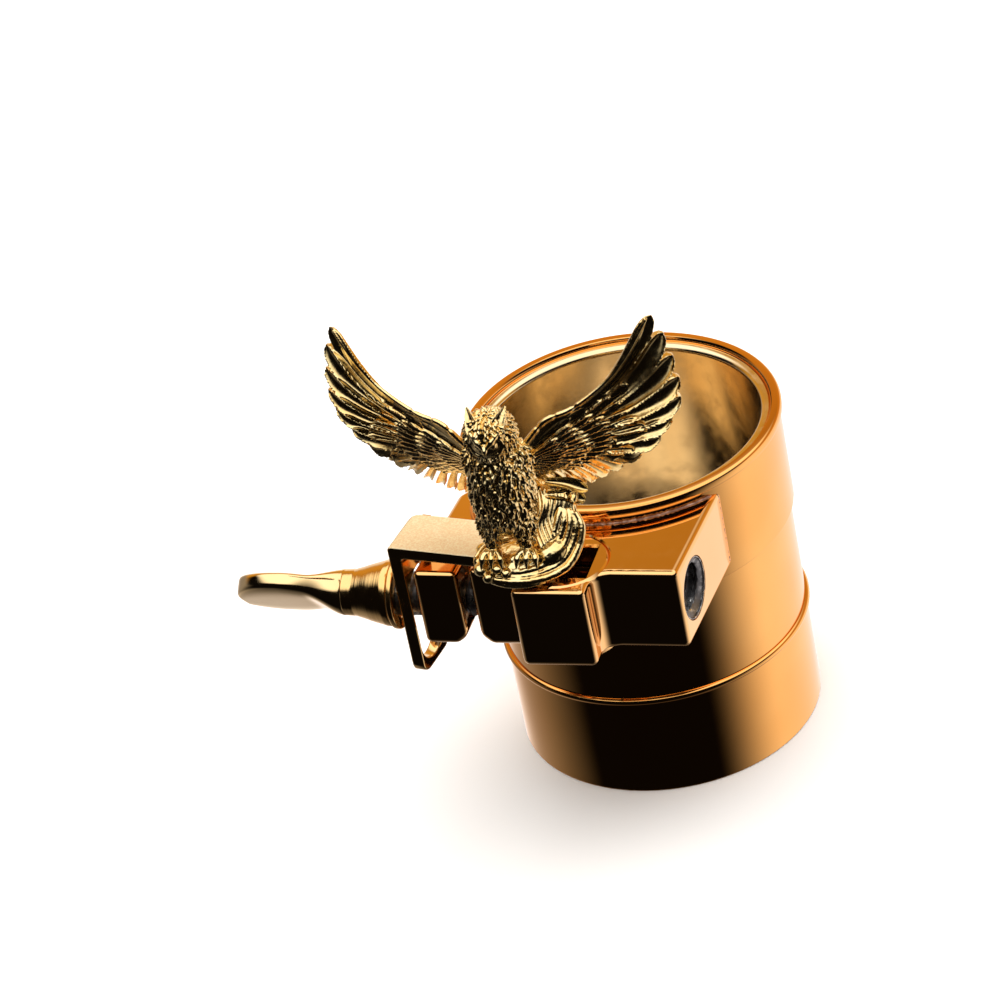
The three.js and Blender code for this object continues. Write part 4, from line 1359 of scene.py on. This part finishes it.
def add_foot(name, node, side):
    clay = Clay()
    x = side * 1.35
    shin = [(x, -0.7, 34.6), (x + side * 0.1, -0.95, 33.3), (x + side * 0.15, -1.1, 32.2)]
    clay.limb(shin, [0.95, 0.68, 0.5])
    for spread in (-0.8, 0.0, 0.8):
        base = (x + side * 0.15 + spread * 0.3, -1.2, 32.1)
        knuckle = (x + side * 0.15 + spread * 0.85, -1.95, 32.0)
        tip = (x + side * 0.15 + spread * 1.05, -2.45, 31.5)
        clay.limb([base, knuckle, tip], [0.32, 0.38, 0.3, 0.34, 0.16])
        clay.limb([tip, (tip[0] + 0.1 * spread, tip[1] - 0.2, tip[2] - 0.45)], [0.2, 0.04], ring=8)
    clay.limb([(x, -1.0, 32.1), (x, -0.3, 31.8)], [0.34, 0.2])
    flecks(clay, (x + side * 0.08, -0.9, 33.5), (0.72, 0.72, 1.3), 70, 0.42, 41 + side, lambda p: p[2] > 32.5)
    show_cast(name, clay.cast(name, voxel=0.06, smooth=1), node)


# The outermost strands of the plume
PLUME_LEFT = [(1.1, 3.5, 37.3), (1.9, 2.9, 36.3), (2.35, 1.3, 34.7), (2.0, 0.1, 33.3), (2.6, -1.0, 32.0)]
PLUME_RIGHT = [(3.3, 3.9, 36.9), (4.5, 3.4, 35.8), (5.2, 2.5, 34.9), (4.9, 1.9, 34.2), (5.2, 1.2, 33.3)]


def add_tail():
    clay = Clay()
    generator = random.Random(51)
    clay.ball((1.6, 2.6, 34.6), (1.5, 0.8, 2.4), Matrix.Rotation(math.radians(-22), 4, "Y"))
    clay.ball((3.4, 2.7, 34.2), (1.4, 0.7, 2.0), Matrix.Rotation(math.radians(-12), 4, "Y"))
    # A plume of strands that fans out, forwards and down, from the hip to the wave
    for layer, count in ((0, 11), (1, 10), (2, 9)):
        for k in range(count):
            t = (k + 0.5 * (layer % 2)) / (count - 1)
            sway = generator.uniform(-0.12, 0.12)
            deep = 0.16 * layer
            path = []
            for left, right in zip(PLUME_LEFT, PLUME_RIGHT):
                at = np.array(left) + (np.array(right) - np.array(left)) * t
                path.append(at + np.array((0, deep, -0.6 * deep)))
            path[1][0] += sway
            path[2][0] -= sway
            thick = generator.uniform(0.75, 1.25)
            clay.limb(path, [w * thick for w in (0.11, 0.18, 0.22, 0.2, 0.16)], facing=(0.2, -0.72, 0.66))
    # Broader strands that cover the back of the plume
    for k in range(13):
        t = k / 12
        sway = generator.uniform(-0.1, 0.1)
        path = [
            (0.5 + 3.4 * t, 3.0, 37.0 - 0.6 * t), (0.3 + 4.5 * t + sway, 3.45, 35.5 - 0.2 * t),
            (0.4 + 4.4 * t - sway, 3.4, 33.8), (1.0 + 3.6 * t, 2.8, 32.1 + 0.5 * t),
        ]
        clay.limb(path, [0.16, 0.27, 0.28, 0.2])
    # Two rounded side feathers
    for tip_z, tip_x, root_z in ((35.3, 6.4, 36.7), (34.25, 6.0, 35.4)):
        path = [(3.0, 2.0, root_z), (4.8, 2.4, (root_z + tip_z) / 2 + 0.15), (tip_x, 2.6, tip_z)]
        spine = list(smooth_path(path, 12))
        normal = [unit(np.array((0.35, -0.75, 0.55)))] * len(spine)
        across = [unit(np.cross(heading(spine, i), normal[i])) for i in range(len(spine))]
        clay.blade(
            spine, across, normal, leaf_half(len(spine), 0.58, 0.5, 0.35),
            lambda u, v: 0.1 + 0.3 * abs(v) ** 2.4 - 0.08 * (1 - v * v), lambda u, v: -0.3, columns=13,
        )
    show_cast("owl_tail_plume", clay.cast("owl_tail_plume", voxel=0.06, smooth=1), "owl_tail")


# The lowest and the highest ridge of the wave, from the front of the rock to its crest
WAVE_RIDGES = 5
WAVE_HALF_WIDTHS = (0.22, 0.3, 0.33, 0.34, 0.34, 0.32, 0.22)
WAVE_OUTER = [
    (-1.6, -2.45, 29.95), (0.7, -2.75, 29.9), (2.9, -2.3, 30.0), (4.6, -1.3, 30.4),
    (5.5, -0.1, 31.5), (5.8, 0.8, 32.8), (5.3, 1.5, 33.9),
]
WAVE_INNER = [
    (-0.6, -1.5, 31.0), (0.8, -1.6, 31.15), (1.9, -1.1, 31.4), (2.9, -0.4, 32.0),
    (3.6, 0.4, 32.9), (3.9, 1.1, 33.8), (4.0, 1.8, 34.4),
]


def add_rock():
    clay = Clay()
    clay.ball((0.2, 0.5, 30.5), (3.7, 2.9, 1.15), None, 36, 16)
    clay.ball((2.7, 0.3, 30.8), (2.3, 2.1, 1.5), Matrix.Rotation(math.radians(-25), 4, "Y"))
    clay.ball((4.1, 1.5, 32.0), (0.9, 1.0, 1.5), Matrix.Rotation(math.radians(20), 4, "Y"))
    # Parallel ridges that run from the front to the crest of the wave
    for k in range(WAVE_RIDGES):
        t = k / (WAVE_RIDGES - 1)
        path = [np.array(low) * (1 - t) + np.array(high) * t for low, high in zip(WAVE_OUTER, WAVE_INNER)]
        thick = 1.1 if k % 2 == 0 else 0.88
        clay.limb(path, [w * thick for w in WAVE_HALF_WIDTHS], flat=0.95, facing=(0.25, -0.62, 0.75))
    # Beads along the lower rim
    rim = [
        (-2.2, -2.1, 29.75), (-0.6, -2.7, 29.6), (1.2, -2.75, 29.55), (2.9, -2.1, 29.65), (4.2, -1.1, 29.95),
    ]
    for p in smooth_path(rim, 9):
        clay.ball(p + np.array((0, -0.12, 0.02)), (0.19, 0.2, 0.22), None, 12, 8)
    # Lumps at the left and front
    generator = random.Random(61)
    for x, y, z, r in (
        (-2.7, -1.6, 30.5, 0.85), (-1.9, -2.3, 30.1, 0.7), (-3.1, -0.4, 30.6, 0.8), (-1.2, -2.3, 30.9, 0.6),
        (-0.4, -2.4, 30.6, 0.5), (-2.3, -1.3, 31.4, 0.6), (-3.0, 0.9, 30.8, 0.9), (-1.8, 2.4, 30.6, 1.0),
        (0.4, 3.0, 30.6, 0.9), (2.6, 2.6, 31.0, 1.0), (0.2, -1.3, 31.2, 0.6),
    ):
        spin = Matrix.Rotation(generator.uniform(0, 3), 4, "Z")
        turn = spin @ Matrix.Rotation(generator.uniform(-0.5, 0.5), 4, "Y")
        radii = (r, r * generator.uniform(0.6, 0.9), r * generator.uniform(0.6, 0.85))
        clay.ball((x, y, z), radii, turn, 18, 10)
    # Low ribs across the back
    for k in range(7):
        path = [
            (-3.3 + 0.2 * k, -1.0 + 0.55 * k, 31.2), (-2.4 + 0.5 * k, 0.2 + 0.42 * k, 31.7),
            (-0.6 + 0.5 * k, 1.0 + 0.3 * k, 31.75),
        ]
        clay.limb(path, [0.12, 0.24, 0.12])
    mesh = clay.cast("wave_cut_rock", voxel=0.065, smooth=1, rough=0.02, seed=13)
    place = np.empty(len(mesh.vertices) * 3, np.float32)
    mesh.vertices.foreach_get("co", place)
    place[2::3] = np.maximum(place[2::3], ROCK_FOOT_Z)
    mesh.vertices.foreach_set("co", place)
    mesh.update()
    show_cast("wave_cut_rock", mesh, "rock_base")


add_camera()
add_studio()
add_receiver()
add_left_lug()
add_lyre_block()
add_inserts()
add_seams()
add_thumbscrew()
add_bracket()
add_torso()
add_head()
add_foot("left_taloned_foot", "left_foot", -1)
add_foot("right_taloned_foot", "right_foot", 1)
add_tail()
add_rock()
add_wing("left_spread_wing", "left_wing", -1)
add_wing("right_spread_wing", "right_wing", 1)
